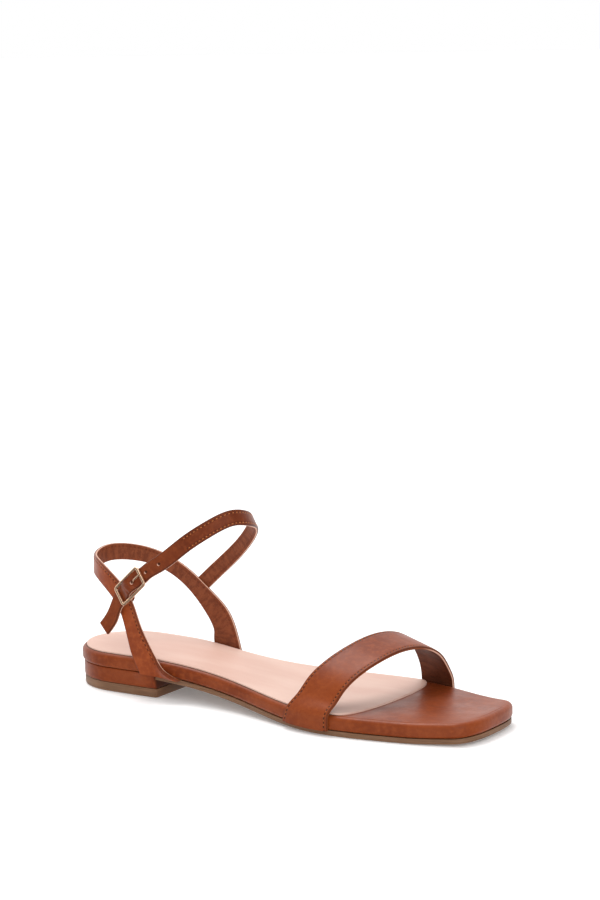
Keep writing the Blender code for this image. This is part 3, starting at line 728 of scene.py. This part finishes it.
def build_buckle(material):
    corner = BUCKLE_CORNER
    points = []
    for turn, (side_long, side_wide) in enumerate(((1, 1), (-1, 1), (-1, -1), (1, -1))):
        for step in range(FRAME_STEPS + 1):
            angle = math.radians(90.0 * turn + 90.0 * step / FRAME_STEPS)
            forward = side_long * (INNER_HALF - corner) + corner * math.cos(angle)
            across = side_wide * (INNER_WIDE - corner) + corner * math.sin(angle)
            points.append(buckle_point(forward, across, 0.0))
    bm = bmesh.new()
    wire(bm, points, BUCKLE_BAR / 2.0, FRAME_SIDES, closed=True, power=FRAME_POWER)
    inside = INNER_WIDE - BUCKLE_BAR / 2.0 - CLEARANCE - CENTRE_BAR_BEND
    bend = (INNER_WIDE - CENTRE_BAR_BEND, 0.55 * CENTRE_BAR_DROP)
    half_bar = ((INNER_WIDE, 0.0), bend, (inside, CENTRE_BAR_DROP))
    bar = [buckle_point(0.0, -wide, -drop) for wide, drop in half_bar]
    bar += [buckle_point(0.0, wide, -drop) for wide, drop in reversed(half_bar)]
    wire(bm, bar, CENTRE_BAR / 2.0, BAR_SIDES)
    ring = finish_mesh(bm, "buckle_frame_metal", material, angle=60.0)
    points = []
    for step in range(EYE_STEPS + 1):
        angle = math.radians(EYE_FROM + EYE_TURN * step / EYE_STEPS)
        outward = PRONG_RADIUS * math.sin(angle) - CENTRE_BAR_DROP
        points.append((PRONG_RADIUS * math.cos(angle), outward))
    rest = BUCKLE_BAR / 2.0 + CLEARANCE + PRONG_WIRE / 2.0
    points += [(share * INNER_HALF, rest + rise * PRONG_WIRE) for share, rise in PRONG_ROWS]
    radii = [PRONG_WIRE / 2.0] * (len(points) - 2) + [PRONG_WIRE * 0.46, PRONG_WIRE * 0.3]
    bm = bmesh.new()
    wire(bm, [buckle_point(f, 0.0, o) for f, o in points], radii, PRONG_SIDES)
    return ring, finish_mesh(bm, "buckle_prong_metal", material, angle=60.0)


# Materials

def add_node(tree, kind, inputs=(), **settings):
    """A node in the tree; each input is a value or the socket that feeds it."""
    made = tree.nodes.new("ShaderNode" + kind)
    for key, value in settings.items():
        setattr(made, key, value)
    connect(tree, made.inputs, inputs)
    return made


def connect(tree, sockets, inputs):
    for key, value in dict(inputs).items():
        if isinstance(value, bpy.types.NodeSocket):
            tree.links.new(value, sockets[key])
        else:
            sockets[key].default_value = value


class Shader:
    """A node material with short calls for the nodes that it needs."""

    def __init__(self, name):
        self.material = bpy.data.materials.new(name)
        self.material.use_nodes = True
        self.tree = self.material.node_tree

    def node(self, kind, inputs=(), **settings):
        return add_node(self.tree, kind, inputs, **settings)

    def place(self):
        return self.node("TexCoord").outputs["Object"]

    def stretched(self, scale):
        return self.node("Mapping", {"Vector": self.place(), "Scale": scale}).outputs[0]

    def flat(self, along, across):
        return self.node("CombineXYZ", {0: along, 1: across}).outputs[0]

    def attribute(self, name):
        return self.node("Attribute", attribute_name=name).outputs["Fac"]

    def noise(self, vector, scale, detail=3.0, rough=0.5):
        inputs = {"Vector": vector, "Scale": scale, "Detail": detail, "Roughness": rough}
        return self.node("TexNoise", inputs).outputs["Fac"]

    def distance(self, vector, spot):
        made = self.node("VectorMath", {0: vector, 1: spot}, operation="DISTANCE")
        return made.outputs["Value"]

    def maths(self, operation, first, second=0.0):
        return self.node("Math", {0: first, 1: second}, operation=operation).outputs[0]

    def times(self, first, second):
        return self.maths("MULTIPLY", first, second)

    def plus(self, first, second):
        return self.maths("ADD", first, second)

    def off(self, first, second):
        return self.maths("ABSOLUTE", self.maths("SUBTRACT", first, second))

    def span(self, value, low, high, to_low=0.0, to_high=1.0):
        inputs = {"Value": value, "From Min": low, "From Max": high,
                  "To Min": to_low, "To Max": to_high}
        return self.node("MapRange", inputs, interpolation_type="SMOOTHSTEP").outputs[0]

    def mix(self, factor, first, second):
        made = self.node("Mix", {0: factor, 6: first, 7: second}, data_type="RGBA")
        return made.outputs[2]

    def bump(self, height, strength, distance, under=None):
        inputs = {"Height": height, "Strength": strength, "Distance": distance}
        if under is not None:
            inputs["Normal"] = under
        return self.node("Bump", inputs).outputs[0]

    def set(self, **inputs):
        sockets = self.tree.nodes["Principled BSDF"].inputs
        connect(self.tree, sockets, {key.replace("_", " "): value for key, value in inputs.items()})


# Colours, linear. The brown hides and the threads are toned where they are used; the hides' tones also
# paint light and shade, as the heel band and ankle strap are one leather toned 1.14 and 0.72.
BROWN = (0.275, 0.054, 0.011)
BROWN_DEEP = (0.190, 0.032, 0.006)
BROWN_WARM = (0.340, 0.074, 0.016)
LINING = (0.270, 0.074, 0.028)
LINING_DEEP = (0.170, 0.042, 0.016)
CUT_EDGE = (0.700, 0.420, 0.310, 1.0)
DYED_EDGE = (0.260, 0.070, 0.022, 1.0)
# Near-black: dye on the cut edge, and painted shade in the needle holes and on the heel block's front
# face
DARK_DYE_AND_SHADE = (0.030, 0.010, 0.005, 1.0)
HOLE_SHADE_BROWN = (0.110, 0.028, 0.010, 1.0)
SOCK_PINK = (0.650, 0.405, 0.325, 1.0)
SOCK_PALE = (0.700, 0.475, 0.390, 1.0)
SOCK_MOTTLE = (0.70, 0.42, 0.32, 1.0)
# Painted shadow line between the sock and the bed
SHADOW_LINE_DARK = (0.075, 0.028, 0.014, 1.0)
SHADOW_LINE_LIGHT = (0.150, 0.058, 0.030, 1.0)
TAN = (0.235, 0.110, 0.050, 1.0)
TAN_DEEP = (0.155, 0.070, 0.030, 1.0)
TAN_PALE = (0.290, 0.165, 0.095, 1.0)
GOLD = (0.960, 0.660, 0.450, 1.0)
GOLD_DEEP = (0.900, 0.600, 0.400, 1.0)
DARK_THREAD = (0.450, 0.135, 0.042)
BRIGHT_THREAD = (0.560, 0.190, 0.060)

# A hole's pale crescent of cut leather, partly a painted highlight, and its dark disc of painted shade
# inside the hole: shift, inner and outer rim, strength, colour
HOLE_SHADE_AND_RIM = ((1.0, 0.9, 1.15, 0.8, CUT_EDGE), (0.0, 0.85, 1.1, 1.0, HOLE_SHADE_BROWN))

# Distances in the straps' looks: cut edge, prick of a stitch, groove of a seam
CUT_REACH = (0.00045, 0.00070)
PRICK_REACH = (0.00024, 0.00044)
GROOVE_REACH = (0.0003, 0.0008)
PALE_RUN = 0.012
# Painted shade on the heel block's front face: where it starts before the face, and its run
SHADED_BEFORE = 0.0008
SHADED_RUN = 0.001


def leather_grain(look):
    """Fine pores and a soft unevenness of the finished hide."""
    spot = look.place()
    pores = look.node("TexVoronoi", {"Vector": spot, "Scale": 2100.0}, feature="F1")
    soft = look.noise(spot, 900.0, 3.0, 0.6)
    waves = look.noise(spot, 85.0, 3.0, 0.55)
    under = look.bump(waves, 0.45, 0.0006)
    height = look.plus(look.times(pores.outputs["Distance"], 0.5), soft)
    return height, under


def toned(colour, tone):
    return tuple(value * tone for value in colour) + (1.0,)


def lined_and_cut(look, ways, colour, height, rough, lining_shade_tone, pale_from):
    """Lining on the inner face, dyed outer half of the cut edge and its raw inner half."""
    along, across, gap, level, _ = ways
    lining = look.span(level, -0.8, -0.55, 1.0, 0.0)
    folds = look.noise(look.flat(along, look.times(across, 0.35)), 420.0, 3.0, 0.6)
    suede = look.noise(look.place(), 1500.0, 3.0, 0.7)
    worn = look.span(look.plus(look.times(folds, 0.6), look.times(suede, 0.4)), 0.38, 0.62)
    lining_colour = look.mix(worn, toned(LINING_DEEP, lining_shade_tone), toned(LINING, lining_shade_tone))
    colour = look.mix(lining, colour, lining_colour)
    height = look.plus(height, look.times(look.times(folds, lining), 2.5))
    edge = look.span(gap, *CUT_REACH, 1.0, 0.0)
    dyed = look.times(look.span(level, -0.2, 0.15), edge)
    colour = look.mix(look.times(dyed, 0.45), colour, DARK_DYE_AND_SHADE)
    inner_half = look.times(look.span(level, -0.9, -0.65), look.span(level, -0.15, 0.1, 1.0, 0.0))
    raw = look.times(inner_half, edge)
    fibre = look.noise(look.stretched((900.0, 900.0, 2500.0)), 1.0, 2.0, 0.6)
    raw_colour = look.mix(look.span(along, pale_from, pale_from + PALE_RUN), DYED_EDGE, CUT_EDGE)
    raw_colour = look.mix(look.span(fibre, 0.45, 0.8, 0.0, 0.5), raw_colour, DYED_EDGE)
    colour = look.mix(raw, colour, raw_colour)
    rough = look.plus(rough, look.times(look.maths("MAXIMUM", raw, lining), 0.25))
    return colour, height, rough


def sewn(look, ways, colour, height, deep, prick_shade):
    """Groove of a seam, and painted shade in the needle hole between one stitch and the next."""
    along, _, _, level, seam = ways
    near = look.off(seam, STITCH_INSET)
    turn = look.maths("FRACT", look.maths("DIVIDE", along, STITCH_PITCH))
    between = look.span(look.off(turn, 0.5), 0.22, 0.30)
    prick = look.times(look.span(near, *PRICK_REACH, 1.0, 0.0), between)
    groove = look.span(near, *GROOVE_REACH, 1.0, 0.0)
    colour = look.mix(look.times(groove, 0.3), colour, deep)
    # Painted shade in the needle holes, weaker on the inner face
    pricked = look.times(prick, look.span(level, -0.5, 0.5, 0.45 * prick_shade, prick_shade))
    colour = look.mix(pricked, colour, DARK_DYE_AND_SHADE)
    return colour, look.maths("SUBTRACT", height, look.times(prick, 2.5))


def punched(look, ways, colour, holes):
    """Painted shade as dark discs in the ankle strap's holes, each with a pale crescent of cut leather,
    partly a painted highlight.
    """
    along, across, _, level, _ = ways
    here = look.flat(along, across)
    outer_face = look.span(level, 0.7, 0.9)
    middle = ANKLE_STRAP_WIDTH / 2.0
    for hole_at, radius in holes:
        for shift, inner, rim, share, paint in HOLE_SHADE_AND_RIM:
            spot = (hole_at + 0.45 * shift * radius, middle - 0.25 * shift * radius, 0.0)
            disc = look.span(look.distance(here, spot), radius * inner, radius * rim, share, 0.0)
            colour = look.mix(look.times(disc, outer_face), colour, paint)
    return colour


def brown_leather(name, tone=1.0, strap_piece=False, holes=(), coat=0.07, lining_shade_tone=1.0,
                  pale_from=0.0, shaded_from=None, prick_shade=0.75):
    """Finished brown hide; a strap's also shows its lining, cut edge, seams and holes."""
    look = Shader(name)
    deep = toned(BROWN_DEEP, tone)
    spot = look.place()
    height, under = leather_grain(look)
    patches = look.noise(spot, 26.0, 5.0, 0.6)
    fine = look.noise(spot, 420.0, 2.0, 0.6)
    colour = look.mix(look.span(patches, 0.36, 0.66), deep, toned(BROWN, tone))
    colour = look.mix(look.span(fine, 0.42, 0.75, 0.0, 0.5), colour, toned(BROWN_WARM, tone))
    specks = look.noise(spot, 1000.0, 2.0, 0.6)
    colour = look.mix(look.span(specks, 0.52, 0.75, 0.0, 0.45), colour, deep)
    rough = look.span(look.noise(spot, 60.0, 3.0, 0.5), 0.3, 0.7, 0.36, 0.48)
    # Painted shade: darker towards the front from shaded_from on, for the heel block's front face
    if shaded_from is not None:
        forward = look.node("SeparateXYZ", {0: spot}).outputs[0]
        shade = look.span(forward, shaded_from, shaded_from + SHADED_RUN, 0.0, 0.8)
        colour = look.mix(shade, colour, DARK_DYE_AND_SHADE)
    if strap_piece:
        ways = [look.attribute(key) for key in STRAP_LAYERS]
        colour, height, rough = lined_and_cut(look, ways, colour, height, rough, lining_shade_tone, pale_from)
        colour, height = sewn(look, ways, colour, height, deep, prick_shade)
        if holes:
            colour = punched(look, ways, colour, holes)
    look.set(Base_Color=colour, Roughness=rough, Normal=look.bump(height, 0.30, 0.00012, under),
             Specular_IOR_Level=0.19, Coat_Weight=coat, Coat_Roughness=0.22)
    return look.material


def sock_leather():
    look = Shader("insole_leather")
    spot = look.place()
    streaks = look.noise(look.stretched((14.0, 60.0, 20.0)), 1.0, 4.0, 0.55)
    mottle = look.noise(spot, 260.0, 3.0, 0.6)
    colour = look.mix(look.span(streaks, 0.35, 0.68), SOCK_PINK, SOCK_PALE)
    colour = look.mix(look.span(mottle, 0.5, 0.9, 0.0, 0.25), colour, SOCK_MOTTLE)
    height = look.noise(spot, 1100.0, 3.0, 0.6)
    waves = look.bump(look.noise(look.stretched((25.0, 90.0, 30.0)), 1.0, 2.0, 0.5), 0.2, 0.0008)
    look.set(Base_Color=colour, Roughness=0.55, Normal=look.bump(height, 0.18, 0.0001, waves),
             Coat_Weight=0.10, Coat_Roughness=0.35)
    return look.material


def tan_leather():
    look = Shader("sole_leather")
    spot = look.place()
    layers = look.noise(look.stretched((40.0, 40.0, 1400.0)), 1.0, 3.0, 0.6)
    patches = look.noise(spot, 45.0, 4.0, 0.6)
    colour = look.mix(look.span(layers, 0.3, 0.7), TAN_DEEP, TAN)
    colour = look.mix(look.span(patches, 0.4, 0.8, 0.0, 0.4), colour, TAN_PALE)
    height = look.plus(layers, look.noise(spot, 1300.0, 2.0, 0.6))
    look.set(Base_Color=colour, Roughness=0.58, Normal=look.bump(height, 0.25, 0.00012))
    return look.material


def gold_metal():
    look = Shader("buckle_metal")
    tone = look.mix(look.noise(look.place(), 120.0, 2.0, 0.5), GOLD, GOLD_DEEP)
    look.set(Base_Color=tone, Metallic=0.82, Roughness=0.15)
    return look.material


def thread_material(name, colour):
    look = Shader(name)
    twist = look.noise(look.place(), 3000.0, 2.0, 0.5)
    look.set(Base_Color=look.mix(twist, toned(colour, 1.0), toned(colour, 0.6)), Roughness=0.65,
             Specular_IOR_Level=0.15, Normal=look.bump(twist, 0.3, 0.0001))
    return look.material


# Pieces

def keep(piece, *nodes, slot="leather_brown"):
    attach(piece, "root")
    if nodes:
        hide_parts(*nodes)


def keep_sewn(built, seams, thread, node):
    """Keeps a built strap, and the rows of stitches along its seams."""
    keep(built[0], node)
    keep(stitches(built[0].name.replace("_leather", "_stitches"), built, seams, thread))


def inset_rings(inset, rings):
    return [(inset + more, height) for more, height in rings]


def sole_rings(inset, under, over):
    lower = quarter(SOLE_EDGE_ROUND, under, False, 4)
    return inset_rings(inset, lower + quarter(SOLE_TOP_ROUND, over, True, 3))


def build_bed():
    wrap = brown_leather("wrap_leather", tone=0.90, coat=0.09)
    rings = quarter(BED_BOTTOM_ROUND, bed_bottom, False, 8) + quarter(BED_TOP_ROUND, bed_top, True, 10)
    bed = plate("footbed_wrap", rings, 0.0, SHOE_LENGTH, (HEEL_ROUND, TOE_ROUND), TOE_POWER, wrap,
                crown=BED_CROWN)
    keep(bed, "footbed")


def build_sock():
    def under(x):
        return bed_top(x) - SOCK_SINK

    def over(x):
        return bed_top(x) + CLEARANCE + SOCK_THICKNESS

    def line_over(x):
        return bed_top(x) + LINE_RISE

    rounds = (HEEL_ROUND, SOCK_ROUND)
    front = SOCK_LENGTH + SOCK_INSET
    rings = [(SOCK_INSET, under)] + inset_rings(SOCK_INSET, quarter(SOCK_EDGE_ROUND, over, True, 5))
    sock = plate("insole_leather", rings, 0.0, front, rounds, SOCK_POWER, sock_leather(),
                 skew=SOCK_SKEW, crown=SOCK_CROWN)
    keep(sock, "insole_sock", slot="leather_pale")
    # A thin dark plate round the sock paints the shadow where it meets the bed
    paint = Shader("insole_shadow_paint")
    streak = paint.noise(paint.place(), 300.0, 2.0, 0.5)
    paint.set(Base_Color=paint.mix(streak, SHADOW_LINE_DARK, SHADOW_LINE_LIGHT), Roughness=0.7)
    rings = [(SOCK_INSET - LINE_FOOT, under), (SOCK_INSET - LINE_TOP, line_over)]
    line = plate("insole_shadow_line", rings, 0.0, front - LINE_SHORT, rounds, SOCK_POWER, paint.material,
                 skew=SOCK_SKEW, crown=SOCK_CROWN)
    keep(line)


def build_outsole(tan):
    def over(x):
        return bed_bottom(x) - OUTSOLE_GAP

    def under(x):
        return bed_bottom(x) - CLEARANCE - OUTSOLE_THICKNESS

    outsole = plate("outsole_leather", sole_rings(OUTSOLE_INSET, under, over),
                    HEEL_LENGTH - OUTSOLE_INSET, SHOE_LENGTH, (0.0, TOE_ROUND), TOE_POWER, tan)
    keep(outsole, "outsole", slot="sole_tan")


def build_top_lift(tan):
    def over(x):
        return TOP_LIFT_THICKNESS + LIFT_RISE

    def under(x):
        return 0.0

    lift = plate("top_lift_leather", sole_rings(TOP_LIFT_INSET, under, over), 0.0,
                 HEEL_LENGTH + TOP_LIFT_INSET, (HEEL_ROUND, 0.0), ROUND_POWER, tan,
                 corner=LIFT_CORNER, steps=HEEL_STEPS)
    keep(lift, "top_lift", slot="sole_tan")


def build_heel_block():
    front = HEEL_LENGTH - SHOE_LENGTH / 2.0
    # The block's front face gets painted shade in its colour
    wrap = brown_leather("block_leather", tone=0.87, shaded_from=front - SHADED_BEFORE)

    def over(x):
        return bed_bottom(x) - BLOCK_GAP

    def under(x):
        return TOP_LIFT_THICKNESS + CLEARANCE

    def between(share):
        return lambda x: under(x) + (over(x) - under(x)) * share

    def flank(x, z):
        rise = ease((z - TOP_LIFT_THICKNESS) / FLANK_HEIGHT)
        return FLANK * ease((x - FLANK_FROM) / FLANK_RUN) * rise

    rings = quarter(BLOCK_EDGE_ROUND, under, False, 5)
    rings += [(0.0, between(share)) for share in (0.25, 0.4, 0.55, 0.7, 0.8)]
    rings += quarter(BLOCK_EDGE_ROUND, over, True, 5)
    block = plate("heel_block_wrap", inset_rings(BLOCK_INSET, rings), 0.0, HEEL_LENGTH + BLOCK_INSET,
                  (HEEL_ROUND, 0.0), ROUND_POWER, wrap, corner=BLOCK_CORNER, bulge=flank,
                  steps=HEEL_STEPS)
    keep(block, "heel_block")


def build_sole():
    tan = tan_leather()
    build_bed()
    build_sock()
    build_outsole(tan)
    build_top_lift(tan)
    build_heel_block()


def build_toe_strap(thread):
    count = TOE_STRAP_POINTS
    rungs = foot_rungs(TOE_LATERAL_FOOT, -1, count)
    rungs += strap_rungs(TOE_ROWS, BALL_WIDTH / 2.0, INSTEP_HEIGHT, TOE_STRAP_WIDTH, count)
    rungs += foot_rungs(TOE_MEDIAL_FOOT, 1, count)
    # The toe strap's lining is toned down as painted shade on its inner face
    leather = brown_leather("toe_strap_hide", tone=0.89, strap_piece=True, lining_shade_tone=0.6, prick_shade=0.9,
                            pale_from=0.62 * run_along(rungs)[1][-1])
    built = strap("toe_strap_leather", rungs, TOE_STEPS, TOE_STRAP_WIDTH, leather, TOE_SEAMS,
                  face_steps=TOE_FACE_STEPS)
    keep_sewn(built, TOE_SEAMS, thread, "toe_strap")


def build_heel_band(thread):
    rungs = foot_rungs(BAND_LATERAL_FOOT, -1, BAND_POINTS)
    rungs += strap_rungs(BAND_ROWS, HEEL_WIDTH / 2.0, BAND_HEIGHT, BAND_WIDTH, BAND_POINTS)
    rungs += foot_rungs(BAND_MEDIAL_FOOT, 1, BAND_POINTS)
    # Tone 1.14 lightens this leather as painted light; the ankle strap of the same leather gets 0.72
    leather = brown_leather("heel_band_hide", tone=1.14, strap_piece=True)
    built = strap("heel_band_leather", rungs, BAND_STEPS, BAND_WIDTH, leather, BAND_SEAMS,
                  creases=(FLARE,))
    keep_sewn(built, BAND_SEAMS, thread, "heel_and_ankle_strap")


def build_ankle_strap(thread):
    half = HEEL_WIDTH / 2.0
    rungs = strap_rungs(ANKLE_ROWS, half, ANKLE_HEIGHT, ANKLE_STRAP_WIDTH, 2)
    rungs += buckle_strap_rungs()
    rungs += strap_rungs(TAIL_ROWS, half, ANKLE_HEIGHT, ANKLE_STRAP_WIDTH, 2)
    middle, lengths = run_along(rungs)
    over_bar = np.array(buckle_point(0.0, 0.0, STRAP_OVER_BAR))
    buckle_at = lengths[int(np.argmin(np.linalg.norm(middle - over_bar, axis=1)))]
    holes = [(buckle_at - far, radius) for far, radius in HOLES]
    creases = [crease._replace(along=buckle_at + crease.along) for crease in BUCKLE_CREASES]
    # Tone 0.72 darkens this leather as painted shade; the heel band of the same leather gets 1.14
    leather = brown_leather("ankle_strap_hide", tone=0.72, strap_piece=True, holes=holes, prick_shade=0.4)
    stop = buckle_at - lengths[-1] - ANKLE_SEAM_STOP
    seams = ((-1, ANKLE_SEAM_START, stop), (1, ANKLE_SEAM_START, stop))
    built = strap("ankle_strap_leather", rungs, ANKLE_STEPS, ANKLE_STRAP_WIDTH, leather, seams,
                  creases=creases, holes=holes, swell_at=buckle_at - SWELL_BEFORE)
    keep_sewn(built, seams, thread, "heel_and_ankle_strap")


def build_straps():
    dark_thread = thread_material("dark_thread", DARK_THREAD)
    build_toe_strap(dark_thread)
    build_heel_band(dark_thread)
    build_ankle_strap(thread_material("bright_thread", BRIGHT_THREAD))


def build_metal():
    """Buckle and prong in gold; the tab keeps its solid's mesh and gets brown leather."""
    ring, prong = build_buckle(gold_metal())
    keep(ring, "buckle_frame", slot="metal_gold")
    keep(prong, "buckle_prong", slot="metal_gold")
    tab_leather = brown_leather("tab_leather")
    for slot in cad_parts["buckle_tab"].material_slots:
        slot.material = tab_leather


# Stage

WHITE = (1.0, 1.0, 1.0, 1.0)
FLOOR_WHITE = (0.93, 0.93, 0.93, 1.0)
FLOOR_TOOTH = (0.95, 0.95, 0.95, 1.0)
FLOOR_HALF = 60.0
FLOOR_DROP = 0.0002
FLOOR_GLOW = 0.14
BEHIND = (-0.56, 0.83, 0.0)
OVERHEAD = (0.0, 0.0, 1.0)
SUN_FROM = (-0.31, 0.10, 0.93)
SUN_STRENGTH = 1.7
SUN_ANGLE = 32.0
BACK_SPAN = (-0.1, 0.6)
TOP_SPAN = (0.70, 0.97)
DIM_SIDE = 0.05
BRIGHT_SIDE = 1.30
FILL_LIGHT = 0.80
FRONT_FROM = (0.75, -0.60, 0.34)
FRONT_STRENGTH = 0.70
FRONT_ANGLE = 60.0


def build_floor():
    bm = bmesh.new()
    bmesh.ops.create_grid(bm, x_segments=8, y_segments=8, size=FLOOR_HALF)
    look = Shader("floor_paper")
    tooth = look.noise(look.place(), 30.0, 2.0, 0.5)
    look.set(Base_Color=look.mix(tooth, FLOOR_WHITE, FLOOR_TOOTH), Roughness=0.9,
             Emission_Color=WHITE, Emission_Strength=FLOOR_GLOW)
    floor = finish_mesh(bm, "floor", look.material)
    floor.location.z = -FLOOR_DROP
    floor.visible_glossy = False


def build_world():
    """Gradient of a bright studio for glossy rays, even fill for others, white backdrop."""
    world = bpy.data.worlds.new("studio_world")
    bpy.context.scene.world = world
    world.use_nodes = True
    tree = world.node_tree
    way = add_node(tree, "TexCoord").outputs["Generated"]
    bright = []
    for direction, (low, high) in ((BEHIND, BACK_SPAN), (OVERHEAD, TOP_SPAN)):
        dot = add_node(tree, "VectorMath", {0: way, 1: direction}, operation="DOT_PRODUCT")
        inputs = {"Value": dot.outputs["Value"], "From Min": low, "From Max": high}
        span = add_node(tree, "MapRange", inputs, interpolation_type="SMOOTHSTEP")
        bright.append(span.outputs[0])
    most = add_node(tree, "Math", enumerate(bright), operation="MAXIMUM")
    inputs = {"Value": most.outputs[0], "To Min": DIM_SIDE, "To Max": BRIGHT_SIDE}
    glossy = add_node(tree, "MapRange", inputs)
    ray = add_node(tree, "LightPath").outputs
    inputs = {0: ray["Is Camera Ray"], 1: FILL_LIGHT}
    other = add_node(tree, "Math", inputs, operation="MAXIMUM")
    inputs = {0: ray["Is Glossy Ray"], 2: other.outputs[0], 3: glossy.outputs[0]}
    choice = add_node(tree, "Mix", inputs)
    connect(tree, tree.nodes["Background"].inputs, {"Strength": choice.outputs[0], "Color": WHITE})


def add_sun(name, way_from, strength, angle):
    lamp = bpy.data.lights.new(name, "SUN")
    lamp.energy = strength
    lamp.angle = math.radians(angle)
    made = add_object(name, lamp)
    made.rotation_euler = (-Vector(way_from)).to_track_quat("-Z", "Y").to_euler()


def build_lights():
    build_world()
    add_sun("overhead_softbox", SUN_FROM, SUN_STRENGTH, SUN_ANGLE)
    add_sun("front_softbox", FRONT_FROM, FRONT_STRENGTH, FRONT_ANGLE)


# Camera fitted to the photo: the aim point falls on AIM_PIXEL of the 600 x 900 image
CAMERA_DISTANCE = 1.3075
CAMERA_AIM = (0.125, 0.0, 0.020)
CAMERA_AZIMUTH = 34.0
CAMERA_ELEVATION = 14.2
CAMERA_ROLL = -1.08
FOCAL_PIXELS = 2492.0
AIM_PIXEL = (276.8, 664.9)
FRAME_CENTRE = (300.0, 450.0)
IMAGE_HEIGHT = 900.0
SENSOR_HEIGHT = 36.0
NEAR_CLIP = 0.01
FIT_OFFSET = Vector((-SHOE_LENGTH / 2.0, -0.001, 0.0))


def turned(first, second, angle):
    c, s = math.cos(angle), math.sin(angle)
    return first * c + second * s, second * c - first * s


def build_camera():
    azimuth = math.radians(CAMERA_AZIMUTH)
    elevation = math.radians(CAMERA_ELEVATION)
    flat = math.cos(elevation)
    back = Vector((math.sin(azimuth) * flat, -math.cos(azimuth) * flat, math.sin(elevation)))
    spot = Vector(CAMERA_AIM) + back * CAMERA_DISTANCE
    look = -back
    right = look.cross(Vector((0.0, 0.0, 1.0))).normalized()
    up = right.cross(look)
    aim_x = (AIM_PIXEL[0] - FRAME_CENTRE[0]) / FOCAL_PIXELS
    aim_y = (AIM_PIXEL[1] - FRAME_CENTRE[1]) / FOCAL_PIXELS
    tilt = math.atan(aim_y)
    look, up = turned(look, up, tilt)
    look, right = turned(look, right, -math.atan(aim_x * math.cos(tilt)))
    right, up = turned(right, up, math.radians(CAMERA_ROLL))
    data = bpy.data.cameras.new("photo_camera")
    camera = add_object("photo_camera", data)
    data.sensor_fit = "VERTICAL"
    data.sensor_height = SENSOR_HEIGHT
    data.lens = FOCAL_PIXELS * SENSOR_HEIGHT / IMAGE_HEIGHT
    data.clip_start = NEAR_CLIP
    turn = Matrix((right, up, -look)).transposed().to_4x4()
    camera.matrix_world = Matrix.Translation(spot + FIT_OFFSET) @ turn
    bpy.context.scene.camera = camera


build_camera()
build_floor()
build_lights()
build_sole()
build_straps()
build_metal()
bpy.context.scene.view_settings.view_transform = "Standard"
